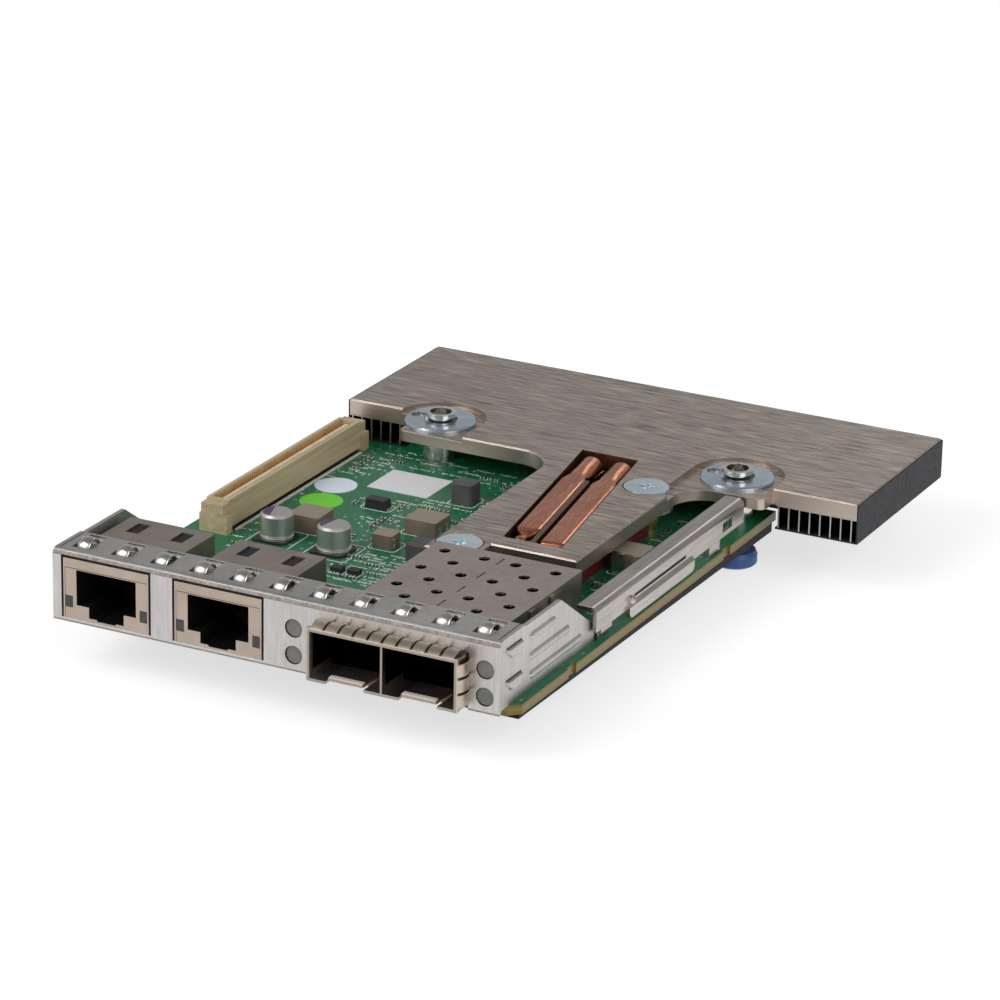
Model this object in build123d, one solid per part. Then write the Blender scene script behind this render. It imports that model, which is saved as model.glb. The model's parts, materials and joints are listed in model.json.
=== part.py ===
"""Mezzanine network card: two modular jacks and a two-port transceiver cage on a small board,
with a flat heat-pipe cooler and two captive mounting screws.

Sizes are millimetres. Pieces are drawn in the board's own datum: X runs along the faceplate from
its left side, Y runs back from the faceplate's front, and Z is up from the board's top face.
They are moved to the part's frame, the bottom centre of its box, when they are saved.
"""
import os
from math import cos, radians, sin, tan
from build123d import *

# Circuit board
board_left = -2.0
board_width = 93.0
board_front = 3.2
board_length = 108.8
board_thick = 1.8
board_corner = 2.0
board_notch_width = 2.2
board_notch_depth = 8.0
tab_stub_depth = 0.45
tab_stub_length = 3.0
tab_stub_places = (23.0, 88.0)
film_front_depth = 1.1
film_back_depth = 2.4
film_thick = 0.3
film_inset = 0.2
film_hole_gap = 0.3

# Faceplate, bent from one sheet
plate_width = 89.2
plate_top = 12.8
plate_bottom = -0.7
sheet = 0.8
bend_out = 1.3
flange_depth = 9.4
ear_top = 12.5
ear_flat = 23.2
ear_length = 36.8
ear_tip_height = 3.0
ear_round = 1.9
seam = 0.25
lamp_hole_radius = 1.73
lamp_gap = 0.12
lamp_columns = (49.1, 86.4)
lamp_heights = (2.3, 7.3)
lamp_recess = 0.35
lamp_block_half = 1.7
lamp_block_front = 3.0
lamp_block_depth = 6.0
lamp_block_over = 2.0

# Stamped beads and lances on the right ear
bead_front = 11.2
bead_heights = (9.8, 6.2, 2.7)
bead_backs = (21.1, 26.6, 31.6)
bead_radius = 0.95
bead_rise = 0.45
lance_front = 2.4
lance_back = 8.2
lance_tops = (10.6, 4.7)
lance_drop = 2.2
lance_rise = 0.5
lance_slit = 0.3

# Spring fingers over the flange
finger_count = 11
finger_first = 4.4
finger_pitch = 8.0
finger_width = 3.0
finger_front = 2.8
finger_back = 8.4
finger_rise = 1.15
finger_thick = 0.25
finger_gap = 0.3
strip_margin = 0.7

# Modular jacks
jack_centres = (11.0, 33.9)
jack_width = 17.6
jack_height = 11.4
jack_depth = 23.0
jack_shell = 0.3
jack_cut_gap = 0.45
jack_lip = 9.7
jack_seam = 0.15
jack_face_inset = 0.1
port_half = 6.15
port_low = 2.7
port_high = 9.4
port_depth = 14.0
latch_half = 3.6
latch_low = 0.65
latch_depth = 12.0
tongue_half = 1.95
tongue_low = 0.35
jack_lamp_offset = 7.7
jack_lamp_width = 1.6
jack_lamp_low = 2.05
jack_lamp_high = 4.3
jack_lamp_length = 20.0
top_window_offset = 4.6
top_window_width = 2.6
top_window_front = 16.2
top_window_depth = 4.7
contact_count = 8
contact_pitch = 1.02
contact_width = 0.45
contact_thick = 0.3
contact_front = 4.0
contact_tip_back = 9.6
contact_tip_drop = 2.2

# Transceiver cage
cage_centre = 68.4
cage_port_width = 13.85
cage_divider = 0.4
cage_wall = 0.45
cage_front = -3.8
cage_back = 44.2
cage_top = 9.6
cage_floor = 0.5
cage_cut_gap = 0.35
cage_rear_open = 27.0
vent_radius = 1.05
vent_column = 4.0
vent_pitch = 4.55
vent_last = 40.5
vent_rows = 7
seam_slot_length = 3.4
seam_slot_width = 0.4
seam_slot_depth = 0.3
seam_slot_places = (40.6, 33.1, 25.6, 18.1)
latch_tab_half = 3.4
latch_tab_length = 9.0
latch_tab_lift = 1.1
latch_tab_slit = 0.35
side_clip_places = (24.1, 32.1)
side_clip_low = 6.6
side_clip_high = 9.0
side_clip_width = 1.6
side_clip_thick = 0.35

# Gasket fingers round the cage mouth
gasket_thick = 0.2
gasket_band = 1.0
gasket_pitch = 2.83
gasket_width = 2.3
gasket_top_count = 10
gasket_side_count = 3
gasket_rise = 0.75
gasket_land = 0.55

# Host connectors in the cage
host_width = 12.6
host_front = 31.0
host_depth = 11.0
host_height = 6.2
host_slot_width = 9.4
host_slot_low = 2.6
host_slot_height = 1.3
host_slot_depth = 5.0

# Board-to-board connector
mezz_left = 1.1
mezz_base_width = 5.9
mezz_body_left = 1.5
mezz_body_width = 4.7
mezz_front = 48.8
mezz_length = 55.1
mezz_end = 2.1
mezz_base_height = 3.6
mezz_height = 6.1
mezz_end_drop = 0.45
mezz_wall = 0.75
mezz_slot_floor = 1.2
mezz_stand = 0.55
mezz_blade = 0.9
mezz_blade_drop = 1.1
tail_count = 61
tail_pitch = 0.8
tail_width = 0.35
tail_reach = 1.2
tail_tuck = 0.3
tail_thick = 0.25

# Heat-sink plate
sink_left = 0.6
sink_right = 111.1
sink_depth = 37.4
sink_top = 8.0
sink_thick = 3.1
sink_left_front = 107.8
sink_right_front = 103.2
ear_front = 98.8
left_ear_side = 16.2
cove_radius = 7.6
tongue_left = 50.8
tongue_right = 78.3
tongue_front = 51.4
tongue_tip_front = 44.7
tongue_tip_right = 61.0
right_cove_radius = 6.3
right_ear_side = 94.0
ear_recess = 1.0
recess_radius = 9.0
edge_break = 0.3
corner_round = 1.5
boss_radius = 5.2
boss_drop = 1.2
pedestal_half = 8.0

# Fins and their wrap
fin_pitch = 2.12
fin_thick = 0.28
fin_floor = 0.3
fin_first_inset = 0.5
fin_root = 0.3
fin_mid_front = 113.2
fin_left_block = 12.9
fin_right_block = 94.6
wrap_thick = 0.3

# Heat pipes in pockets of the plate
pipe_tilt = 9.1
pocket_width = 5.4
pocket_divider = 0.9
pocket_back = 104.4
pocket_front = 55.6
pocket_back_left = 53.5
pocket_round = 1.2
pocket_floor = 0.4
divider_back = 89.4
pipe_width = 4.4
pipe_flat = 2.45
pipe_round = 4.2
pipe_fronts = (62.6, 57.4)
pipe_neck_back = 89.6
pipe_head_back = 95.8
pipe_head_gap = 0.05
pipe_brow_back = 101.9
pipe_brow_gap = 0.1
pipe_dive_back = 104.0
pipe_low_gap = 0.1
window_margin = 0.5
nub_radius = 1.0
nub_taper = 1.6
nub_end = 57.6
nub_ball = 1.25

# Flat screws of the plate
flat_screws = ((55.7, 49.2), (72.7, 92.4))
flat_head_radius = 4.3
flat_head_gap = 0.25
flat_head_thick = 1.0
flat_shank_radius = 1.5
flat_shank_gap = 0.2
flat_shank_length = 5.2
cross_length = 3.0
cross_width = 0.75
cross_depth = 0.5
post_radius = 2.6

# Captive screws
captive_places = (("left", 21.3), ("right", 84.9))
captive_back = 107.0
sleeve_radius = 3.5
sleeve_flange_radius = 4.1
sleeve_flange_thick = 1.8
sleeve_neck_radius = 2.6
sleeve_groove_radius = 2.45
sleeve_lip_radius = 3.05
sleeve_lip_thick = 0.8
sleeve_top = 9.3
sleeve_bore = 1.9
sleeve_mouth = 2.15
sleeve_mouth_depth = 2.6
sleeve_hole_gap = 0.06
chamber_radius = 3.1
chamber_top = 3.0
guide_thick = 1.2
mouth_thick = 0.4
collar_radius = 4.9
collar_bottom = -4.6
knob_radius = 2.75
knob_head_radius = 4.4
knob_head_top = -7.05
knob_shoulder = 0.8
knob_bottom = -9.9
mouth_gap = 0.08
rim_radius = 3.04
rim_thick = 0.6
shank_radius = 1.5
shank_gap = 0.06
shank_tip = 6.5
shank_tail = 2.4
shank_point = 0.5
knob_drive_length = 3.2
knob_drive_width = 0.8
knob_drive_depth = 1.0
knob_edge = 0.4
washer_radius = 7.1
washer_thick = 0.8
washer_hole_radius = 3.3
keyhole_radius = 1.35
keyhole_offset = 5.0
keyhole_neck = 1.5
spring_wire = 0.42
spring_turns = 4
spring_mean_radius = 2.2

# Controller under the tongue
chip_centre = (63.6, 73.3)
chip_half = 8.5
chip_base_thick = 1.2
lid_half = 7.2
lid_thick = 1.0
pad_thick = 0.4
frame_half_width = 11.7
frame_half_length = 15.2
frame_rim = 2.4
frame_height = 1.9

# Guide rail
rail_right = 90.3
rail_width = 3.8
rail_front = 35.2
rail_back = 98.2
rail_top = 6.9
rail_sheet = 0.7
rail_bend = 1.2
rail_open_low = 2.2
rail_foot = (37.2, 41.6)
rail_foot_low = 1.4
rail_panel = (47.8, 75.2)
rail_panel_low = 0.5
rail_panel_high = 3.3
rail_panel_out = 0.6
rail_panel_round = 1.2
rail_rear_foot = (83.0, 87.6)
rail_hole = (88.8, 93.0)
rail_hole_low = 3.2
rail_hole_high = 5.0
rail_slot = (50.6, 72.6)
rail_slot_low = 3.7
rail_slot_high = 4.3
rail_ball_back = 49.3
rail_ball_height = 3.6
rail_ball_radius = 0.9

# Board parts: centre, size in X and Y, height
can_places = ((15.8, 52.3), (28.2, 51.9))
can_radius = 3.15
can_height = 5.4
can_base_half = 3.4
can_base_height = 0.45
can_lip = 0.12
can_lip_thick = 0.5
can_base_corner = 1.1
can_waist = 0.25
can_edge = 0.45
large_coil = ((18.4, 60.6), (6.4, 6.4), 3.2)
tall_coil = ((37.4, 86.9), (4.3, 4.3), 4.0)
flat_coil = ((38.2, 69.8), (6.7, 6.2), 2.9)
small_coil = ((35.3, 59.1), (4.2, 4.0), 2.7)
near_coil = ((44.0, 57.1), (4.8, 5.2), 3.0)
side_coil = ((80.2, 71.0), (6.0, 6.6), 4.0)
coil_edge = 0.35
coil_foot = 0.5
coil_foot_rise = 1.2
diode = ((24.3, 76.0), (4.4, 2.7), 1.8)
diode_lead_width = 1.5
diode_lead_reach = 0.55
diode_lead_thick = 0.2
regulators = ((33.6, 43.6), (37.0, 43.8), (47.5, 48.2))
regulator_size = (2.2, 1.9, 0.9)
chip_size = (1.1, 0.6, 0.55)
chip_row_starts = (
    (10.5, 92.0), (31.5, 79.5), (28.5, 66.0), (42.5, 80.5), (12.0, 30.0),
    (31.0, 31.0), (44.8, 28.0), (84.6, 50.0), (81.0, 79.5),
)
chip_row_steps = (
    (0, 1.5), (1.9, 0), (0, 1.5), (0, 1.6), (2.4, 0), (2.4, 0), (0, 2.2), (0, 2.0), (1.7, 0),
)
chip_row_counts = (5, 4, 4, 5, 6, 5, 5, 6, 3)
label_centre = (23.7, 90.0)
label_size = (13.0, 10.8)
white_sticker = ((11.7, 82.2), 4.15)
green_sticker = ((13.4, 73.4), 4.2)
label_thick = 0.1

# Values worked out from the sizes above
board_right = board_left + board_width
board_back = board_front + board_length
flange_under = plate_top - sheet
cage_half = cage_divider / 2 + cage_port_width + cage_wall
cage_left = cage_centre - cage_half
cage_right = cage_centre + cage_half
cage_port_centres = [
    cage_centre + side * (cage_divider + cage_port_width) / 2 for side in (-1, 1)
]
sink_back = sink_left_front + sink_depth
sink_under = sink_top - sink_thick
ear_floor = sink_top - ear_recess
pocket_bottom = sink_under + pocket_floor
wrap_right = sink_right + wrap_thick
chip_top = chip_base_thick + lid_thick
pad_top = chip_top + pad_thick
boss_under = sink_under - boss_drop
flange_bottom = -board_thick - sleeve_flange_thick
mouth_top = flange_bottom + mouth_thick
rim_top = mouth_top + rim_thick
frame_origin = Vector(
    (board_left + wrap_right) / 2,
    (cage_front + sink_back) / 2,
    knob_bottom,
)


def block(x0, x1, y0, y1, z0, z1):
    """A box between two opposite corners."""
    centre = Pos((x0 + x1) / 2, (y0 + y1) / 2, (z0 + z1) / 2)
    return centre * Box(x1 - x0, y1 - y0, z1 - z0)


def centred(place, half_x, half_y, z0, z1):
    """A box standing round a place on the board."""
    x, y = place
    return block(x - half_x, x + half_x, y - half_y, y + half_y, z0, z1)


def rod(place, radius, z0, z1):
    """An upright cylinder."""
    return Pos(place[0], place[1], (z0 + z1) / 2) * Cylinder(radius, z1 - z0)


def turned(place, profile):
    """A turned piece: a closed profile of radius and height, revolved about an upright axis."""
    points = [(r, 0, z) for r, z in profile]
    face = make_face(Polyline(*points, close=True))
    return Pos(place[0], place[1], 0) * revolve(face, Axis.Z)


def along_x(outline, x0, x1):
    """An outline of Y and Z drawn out along X."""
    face = Plane.YZ * make_face(outline)
    return Pos(x0, 0, 0) * extrude(face, x1 - x0)


def along_y(outline, y0, y1):
    """An outline of X and Z drawn out along Y."""
    face = Plane.XZ * make_face(outline)
    return Pos(0, y1, 0) * extrude(face, y1 - y0)


def along_z(outline, z0, z1):
    """An outline of X and Y drawn out upwards."""
    return Pos(0, 0, z0) * extrude(make_face(outline), z1 - z0)


def ring_of(points):
    """A closed outline through corner points."""
    return Polyline(*points, close=True)


def captive_axes():
    """The two captive screws' names and places."""
    return [(side, (x, captive_back)) for side, x in captive_places]


def circuit_board():
    """The board: notched and clipped front corners, break-off stubs, holes for the sleeves."""
    outline = ring_of([
        (board_left, board_front),
        (board_right - board_corner, board_front),
        (board_right, board_front + board_corner),
        (board_right, board_back),
        (board_left, board_back),
    ])
    board = along_z(outline, -board_thick, 0)
    board -= block(
        board_left, board_left + board_notch_width, board_front, board_front + board_notch_depth,
        -board_thick, 0,
    )
    for start in tab_stub_places:
        board -= block(
            board_right - tab_stub_depth, board_right + tab_stub_depth,
            start, start + tab_stub_length, -board_thick, 0,
        )
    for _, place in captive_axes():
        board -= rod(place, sleeve_radius + sleeve_hole_gap, -board_thick, 0)
    return board


def tray_outline(inset):
    """Side view of the film tray, deeper at the back, drawn in from its outside by an inset."""
    y0 = board_front + board_corner + inset
    y1 = board_back - film_inset - inset
    lift = -board_thick + inset
    return ring_of([
        (y0, -board_thick),
        (y0, lift - film_front_depth),
        (y1, lift - film_back_depth),
        (y1, -board_thick),
    ])


def underside_film():
    """A shallow black tray of film that stands off the board's solder side."""
    x0 = board_left + board_notch_width + film_inset
    x1 = board_right - tab_stub_depth - film_inset
    tray = along_x(tray_outline(0), x0, x1)
    tray -= along_x(tray_outline(film_thick), x0 + film_thick, x1 - film_thick)
    for _, place in captive_axes():
        hole = collar_radius + film_hole_gap
        tray -= rod(place, hole, -board_thick - film_back_depth, -board_thick)
    return tray


def ear(x0, x1):
    """One side ear: straight top, sloping back edge and a rounded toe."""
    points = [
        (sheet, 0),
        (ear_length, 0),
        (ear_length, ear_tip_height),
        (ear_flat, ear_top),
        (sheet, ear_top),
    ]
    face = make_face(ring_of(points))
    toe = face.vertices().sort_by(Axis.X)[-2:]
    shoulder = face.vertices().sort_by(SortBy.DISTANCE)[-1:]
    face = fillet(ShapeList(toe + shoulder), ear_round)
    return Pos(x0, 0, 0) * extrude(Plane.YZ * face, x1 - x0)


def faceplate():
    """The bent faceplate: front, top flange and two ears, with every port cut through it."""
    outer = [
        (0, plate_bottom),
        (sheet, plate_bottom),
        (sheet, flange_under),
        (flange_depth, flange_under),
        (flange_depth, plate_top),
        (0, plate_top),
    ]
    profile = make_face(ring_of(outer))
    corner = profile.vertices().sort_by(SortBy.DISTANCE)
    bend = [v for v in corner if abs(v.X) < sheet / 2 and v.Y > flange_under]
    profile = fillet(bend, bend_out)
    plate = extrude(Plane.YZ * profile, plate_width)
    plate += ear(0, sheet)
    plate += ear(plate_width - sheet, plate_width)
    for x0 in (sheet, plate_width - sheet - seam):
        plate -= block(x0, x0 + seam, bend_out, flange_depth, flange_under, plate_top)
    half_cut = jack_width / 2 + jack_cut_gap
    for centre in jack_centres:
        plate -= block(
            centre - half_cut, centre + half_cut, 0, sheet,
            0, jack_height + jack_cut_gap,
        )
    plate -= block(
        cage_left - cage_cut_gap, cage_right + cage_cut_gap, 0, sheet,
        plate_bottom, cage_top + cage_cut_gap,
    )
    for x in lamp_columns:
        for z in lamp_heights:
            hole = Pos(x, sheet / 2, z) * Rot(90, 0, 0) * Cylinder(lamp_hole_radius, sheet)
            plate -= hole
    for x in finger_places():
        half = finger_width / 2 + finger_gap
        plate -= block(
            x - half, x + half, finger_front - 2 * finger_gap, finger_back + 2 * finger_gap,
            flange_under, plate_top,
        )
    return ear_stampings(plate)


def ear_stampings(plate):
    """Press three beads and two lanced half-moons out of the right ear."""
    face = plate_width - bead_radius + bead_rise
    inside = block(
        plate_width - 2 * bead_radius, plate_width, 0, ear_length, 0, ear_top,
    )
    for z, back in zip(bead_heights, bead_backs):
        length = back - bead_front - 2 * bead_radius
        middle = (bead_front + back) / 2
        bead = Pos(face, middle, z) * Rot(90, 0, 0) * Cylinder(bead_radius, length)
        for end in (-1, 1):
            bead += Pos(face, middle + end * length / 2, z) * Sphere(bead_radius)
        plate += bead - inside
    middle = (lance_front + lance_back) / 2
    half = (lance_back - lance_front) / 2
    for top in lance_tops:
        moon = make_face([
            Line((middle - half, top), (middle + half, top)),
            ThreePointArc((middle + half, top), (middle, top - lance_drop), (middle - half, top)),
        ])
        bump = extrude(Plane.YZ * moon, lance_rise, taper=20)
        plate += Pos(plate_width, 0, 0) * bump
        plate -= block(
            plate_width - sheet, plate_width + lance_rise,
            lance_front, lance_back, top, top + lance_slit,
        )
    return plate


def finger_places():
    """Centres of the flange's spring fingers along X."""
    return [finger_first + i * finger_pitch for i in range(finger_count)]


def emi_finger_strip():
    """A thin strip under the flange, with fingers that bow up through its slots."""
    level = flange_under - finger_thick
    strip = block(
        finger_places()[0] - finger_width / 2 - strip_margin,
        finger_places()[-1] + finger_width / 2 + strip_margin,
        finger_front - strip_margin, finger_back + strip_margin, level, flange_under,
    )
    middle = (finger_front + finger_back) / 2
    crest = plate_top + finger_rise
    under = crest - finger_thick
    outer = ThreePointArc((finger_front, level), (middle, crest), (finger_back, level))
    inner = ThreePointArc(
        (finger_back - finger_thick, level), (middle, under), (finger_front + finger_thick, level),
    )
    ends = [Line(outer @ 1, inner @ 0), Line(inner @ 1, outer @ 0)]
    half = finger_width / 2
    for x in finger_places():
        strip -= block(
            x - half, x + half, finger_front + finger_thick, finger_back - finger_thick,
            level, flange_under,
        )
        strip += along_x([outer, ends[0], inner, ends[1]], x - half, x + half)
    return strip


def status_light_pipes():
    """Two pairs of light pipes, each pair on a clear block that stands on the board."""
    pairs = []
    radius = lamp_hole_radius - lamp_gap
    back = lamp_block_front + lamp_block_depth
    for x in lamp_columns:
        pair = block(
            x - lamp_block_half, x + lamp_block_half, lamp_block_front, back,
            0, lamp_heights[-1] + lamp_block_over,
        )
        reach = lamp_block_front - lamp_recess
        for z in lamp_heights:
            middle = Pos(x, lamp_recess + reach / 2, z)
            pair += middle * Rot(90, 0, 0) * Cylinder(radius, reach)
        pairs.append(pair)
    return Compound(children=pairs)


def port_outline(centre):
    """The jack's mouth: plug opening, latch slot and the small notch under it."""
    return ring_of([
        (centre - port_half, port_high),
        (centre - port_half, port_low),
        (centre - latch_half, port_low),
        (centre - latch_half, latch_low),
        (centre - tongue_half, latch_low),
        (centre - tongue_half, tongue_low),
        (centre + tongue_half, tongue_low),
        (centre + tongue_half, latch_low),
        (centre + latch_half, latch_low),
        (centre + latch_half, port_low),
        (centre + port_half, port_low),
        (centre + port_half, port_high),
    ])


def jack_lamp_boxes(centre, y0, y1):
    """The two lamp bars of a jack, low on either side of its mouth."""
    half = jack_lamp_width / 2
    return [
        block(
            centre + side * jack_lamp_offset - half, centre + side * jack_lamp_offset + half,
            y0, y1, jack_lamp_low, jack_lamp_high,
        )
        for side in (-1, 1)
    ]


def jack_shield(centre):
    """The folded tin shell of a jack, open below and at the front, with windows in its top."""
    half = jack_width / 2
    shell = block(centre - half, centre + half, 0, jack_depth, 0, jack_height)
    shell -= block(
        centre - half + jack_shell, centre + half - jack_shell,
        jack_shell, jack_depth - jack_shell, 0, jack_height - jack_shell,
    )
    shell -= block(
        centre - half + jack_shell, centre + half - jack_shell, 0, jack_shell, 0, jack_lip,
    )
    for side in (-1, 1):
        x = centre + side * top_window_offset
        shell -= block(
            x - top_window_width / 2, x + top_window_width / 2,
            top_window_front, top_window_front + top_window_depth,
            jack_height - jack_shell, jack_height,
        )
    return shell


def jack_housing(centre):
    """The plastic body inside the shell: its face under the shell's lip, plug cavity and latch slot."""
    half = jack_width / 2 - jack_shell
    body = block(
        centre - half, centre + half, jack_shell, jack_depth - jack_shell,
        0, jack_height - jack_shell,
    )
    body += block(
        centre - half, centre + half, jack_face_inset, jack_shell, 0, jack_lip - jack_seam,
    )
    body -= along_y(port_outline(centre), jack_face_inset, latch_depth)
    body -= block(
        centre - port_half, centre + port_half, latch_depth, port_depth, port_low, port_high,
    )
    for lamp in jack_lamp_boxes(centre, jack_face_inset, jack_lamp_length):
        body -= lamp
    return body


def jack_contacts(centre):
    """Eight contact wires along the cavity's ceiling, each turned back down at the mouth."""
    tip_z = port_high - contact_tip_drop
    wire = ring_of([
        (port_depth, port_high),
        (contact_front, port_high),
        (contact_tip_back, tip_z),
        (contact_tip_back + contact_thick, tip_z + contact_thick),
        (contact_front + 3 * contact_thick, port_high - contact_thick),
        (port_depth, port_high - contact_thick),
    ])
    first = centre - (contact_count - 1) * contact_pitch / 2
    wires = []
    for i in range(contact_count):
        x = first + i * contact_pitch - contact_width / 2
        wires.append(along_x(wire, x, x + contact_width))
    return Compound(children=wires)


def jack_lamps(centre):
    """The two lamp bars of one jack."""
    return Compound(children=jack_lamp_boxes(centre, jack_face_inset, jack_lamp_length))


def sfp_cage():
    """The two-port cage: folded walls and divider, vented top, sprung latch tabs at the mouth."""
    cage = block(cage_left, cage_right, cage_front, cage_back, 0, cage_top)
    for x in cage_port_centres:
        half = cage_port_width / 2
        cage -= block(
            x - half, x + half, cage_front, cage_back - cage_wall,
            cage_floor, cage_top - cage_wall,
        )
        cage -= block(x - half, x + half, cage_rear_open, cage_back - cage_wall, 0, cage_floor)
        cage = latch_tab(cage, x)
    for x, y in vent_places():
        cage -= rod((x, y), vent_radius, cage_top - cage_wall, cage_top)
    half_slot = seam_slot_width / 2
    for y in seam_slot_places:
        cage -= block(
            cage_centre - half_slot, cage_centre + half_slot,
            y - seam_slot_length / 2, y + seam_slot_length / 2,
            cage_top - seam_slot_depth, cage_top,
        )
    for side, x in ((-1, cage_left), (1, cage_right)):
        for y in side_clip_places:
            x1 = x + side * side_clip_thick
            cage += block(
                min(x, x1), max(x, x1), y - side_clip_width / 2, y + side_clip_width / 2,
                side_clip_low, side_clip_high,
            )
    return cage


def latch_tab(cage, x):
    """Free a tongue in the port's floor and bend its front edge up a little."""
    half = latch_tab_half + latch_tab_slit
    back = cage_front + latch_tab_length
    cage -= block(x - half, x + half, cage_front, back, 0, cage_floor)
    lift = latch_tab_lift
    tongue = ring_of([
        (back, 0),
        (back, cage_floor),
        (cage_front + latch_tab_slit, lift),
        (cage_front + latch_tab_slit, lift - cage_floor),
    ])
    return cage + along_x(tongue, x - latch_tab_half, x + latch_tab_half)


def vent_places():
    """Vent holes in the cage top: two outer columns and one staggered column over each port."""
    places = []
    for row in range(vent_rows):
        y = vent_last - row * vent_pitch
        for x in cage_port_centres:
            if row % 2 == 0:
                places += [(x - vent_column, y), (x + vent_column, y)]
            else:
                places.append((x, y))
    return places


def gasket_finger():
    """Side view of a gasket finger: out from the band, over a bow and down on the faceplate."""
    y0 = cage_front
    y1 = -gasket_thick
    middle = (y0 + y1) / 2
    crest = gasket_thick + gasket_rise
    outer = ThreePointArc((y0, gasket_thick), (middle, crest), (y1 + gasket_thick, gasket_land))
    inner = ThreePointArc((y1, gasket_land), (middle, crest - gasket_thick), (y0 + gasket_thick, 0))
    return [
        outer,
        Line(outer @ 1, inner @ 0),
        inner,
        Line(inner @ 1, (y0, 0)),
        Line((y0, 0), outer @ 0),
    ]


def sfp_gasket():
    """A spring collar round the cage mouth, with fingers along its top and both sides."""
    ring = block(
        cage_left - gasket_thick, cage_right + gasket_thick, cage_front,
        cage_front + gasket_band, 0, cage_top + gasket_thick,
    )
    ring -= block(cage_left, cage_right, cage_front, cage_front + gasket_band, 0, cage_top)
    finger = extrude(Plane.YZ * make_face(gasket_finger()), gasket_width)
    first = cage_centre - (gasket_top_count - 1) * gasket_pitch / 2 - gasket_width / 2
    for i in range(gasket_top_count):
        ring += Pos(first + i * gasket_pitch, 0, cage_top) * finger
    low = (cage_top - (gasket_side_count - 1) * gasket_pitch - gasket_width) / 2
    for i in range(gasket_side_count):
        z = low + i * gasket_pitch
        ring += Pos(cage_right, 0, z + gasket_width) * Rot(0, 90, 0) * finger
        ring += Pos(cage_left, 0, z) * Rot(0, -90, 0) * finger
    return ring


def sfp_connector(x):
    """A surface-mounted host connector at the back of one port, with its card slot."""
    half = host_width / 2
    body = block(x - half, x + half, host_front, host_front + host_depth, 0, host_height)
    slot_half = host_slot_width / 2
    body -= block(
        x - slot_half, x + slot_half, host_front, host_front + host_slot_depth,
        host_slot_low, host_slot_low + host_slot_height,
    )
    return body


def mezz_housing():
    """The tan connector: broad end feet, a slotted body that stands off the board between them."""
    back = mezz_front + mezz_length
    body_right = mezz_body_left + mezz_body_width
    y0, y1 = mezz_front + mezz_end, back - mezz_end
    housing = block(
        mezz_body_left, body_right, mezz_front, back, mezz_stand, mezz_height - mezz_end_drop,
    )
    for foot_front, foot_back in ((mezz_front, y0), (y1, back)):
        housing += block(
            mezz_left, mezz_left + mezz_base_width, foot_front, foot_back, 0, mezz_base_height,
        )
    housing += block(mezz_body_left, body_right, y0, y1, mezz_stand, mezz_height)
    housing -= block(
        mezz_body_left + mezz_wall, body_right - mezz_wall, y0 + mezz_wall, y1 - mezz_wall,
        mezz_slot_floor, mezz_height,
    )
    middle = mezz_body_left + mezz_body_width / 2
    housing += block(
        middle - mezz_blade / 2, middle + mezz_blade / 2, y0 + mezz_wall, y1 - mezz_wall,
        mezz_slot_floor, mezz_height - mezz_blade_drop,
    )
    return housing


def mezz_contacts():
    """Solder tails in a row along each long side of the connector, out from under its body."""
    tails = []
    first = mezz_front + (mezz_length - (tail_count - 1) * tail_pitch) / 2
    left, right = mezz_body_left, mezz_body_left + mezz_body_width
    for i in range(tail_count):
        y0 = first + i * tail_pitch - tail_width / 2
        for inner, outer in (
            (right - tail_tuck, right + tail_reach), (left - tail_reach, left + tail_tuck),
        ):
            tails.append(block(inner, outer, y0, y0 + tail_width, 0, tail_thick))
    return Compound(children=tails)


def sink_outline():
    """Plan of the heat-sink plate, from its back left corner round the ears and the tongue."""
    cove_x = tongue_left - cove_radius
    cove_y = ear_front - cove_radius
    bow = cove_radius * (1 - cos(radians(45)))
    right_x = tongue_right + right_cove_radius
    right_y = ear_front - right_cove_radius
    right_bow = right_cove_radius * (1 - cos(radians(45)))
    tip_x = tongue_tip_right
    return [
        Polyline(
            (tongue_left, tongue_tip_front), (tip_x, tongue_tip_front), (tip_x, tongue_front),
            (tongue_right, tongue_front), (tongue_right, right_y),
        ),
        ThreePointArc(
            (tongue_right, right_y),
            (tongue_right + right_bow, ear_front - right_bow),
            (right_x, ear_front),
        ),
        Polyline(
            (right_x, ear_front), (right_ear_side, ear_front), (right_ear_side, sink_right_front),
            (sink_right, sink_right_front), (sink_right, sink_back), (sink_left, sink_back),
            (sink_left, sink_left_front), (left_ear_side, sink_left_front),
            (left_ear_side, ear_front), (cove_x, ear_front),
        ),
        ThreePointArc(
            (cove_x, ear_front), (tongue_left - bow, ear_front - bow), (tongue_left, cove_y),
        ),
        Line((tongue_left, cove_y), (tongue_left, tongue_tip_front)),
    ]


def ear_recess_cut(place):
    """A U-shaped step round a captive screw, open to the front of its ear."""
    x, y = place
    step = rod(place, recess_radius, ear_floor, sink_top)
    return step + block(
        x - recess_radius, x + recess_radius, ear_front - recess_radius, y, ear_floor, sink_top,
    )


def pocket_line(index, y):
    """Centre X of a heat-pipe pocket at a given Y: both pockets lean by the same angle."""
    lead = pocket_back_left + (pocket_back - y) * tan(radians(pipe_tilt))
    across = pocket_width / cos(radians(pipe_tilt))
    step = (pocket_width + pocket_divider) / cos(radians(pipe_tilt))
    return lead + across / 2 + index * step


def pocket_cut(index, start, floor):
    """The leaning pocket of one heat pipe, milled from above, from a front edge to its back."""
    half = pocket_width / cos(radians(pipe_tilt)) / 2
    front, back = pocket_line(index, start), pocket_line(index, pocket_back)
    outline = ring_of([
        (front - half, start),
        (front + half, start),
        (back + half, pocket_back),
        (back - half, pocket_back),
    ])
    pocket = along_z(outline, floor, sink_top)
    front_edges = pocket.edges().filter_by(Axis.Z).sort_by(Axis.Y)[:2]
    return fillet(front_edges, pocket_round)


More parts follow.
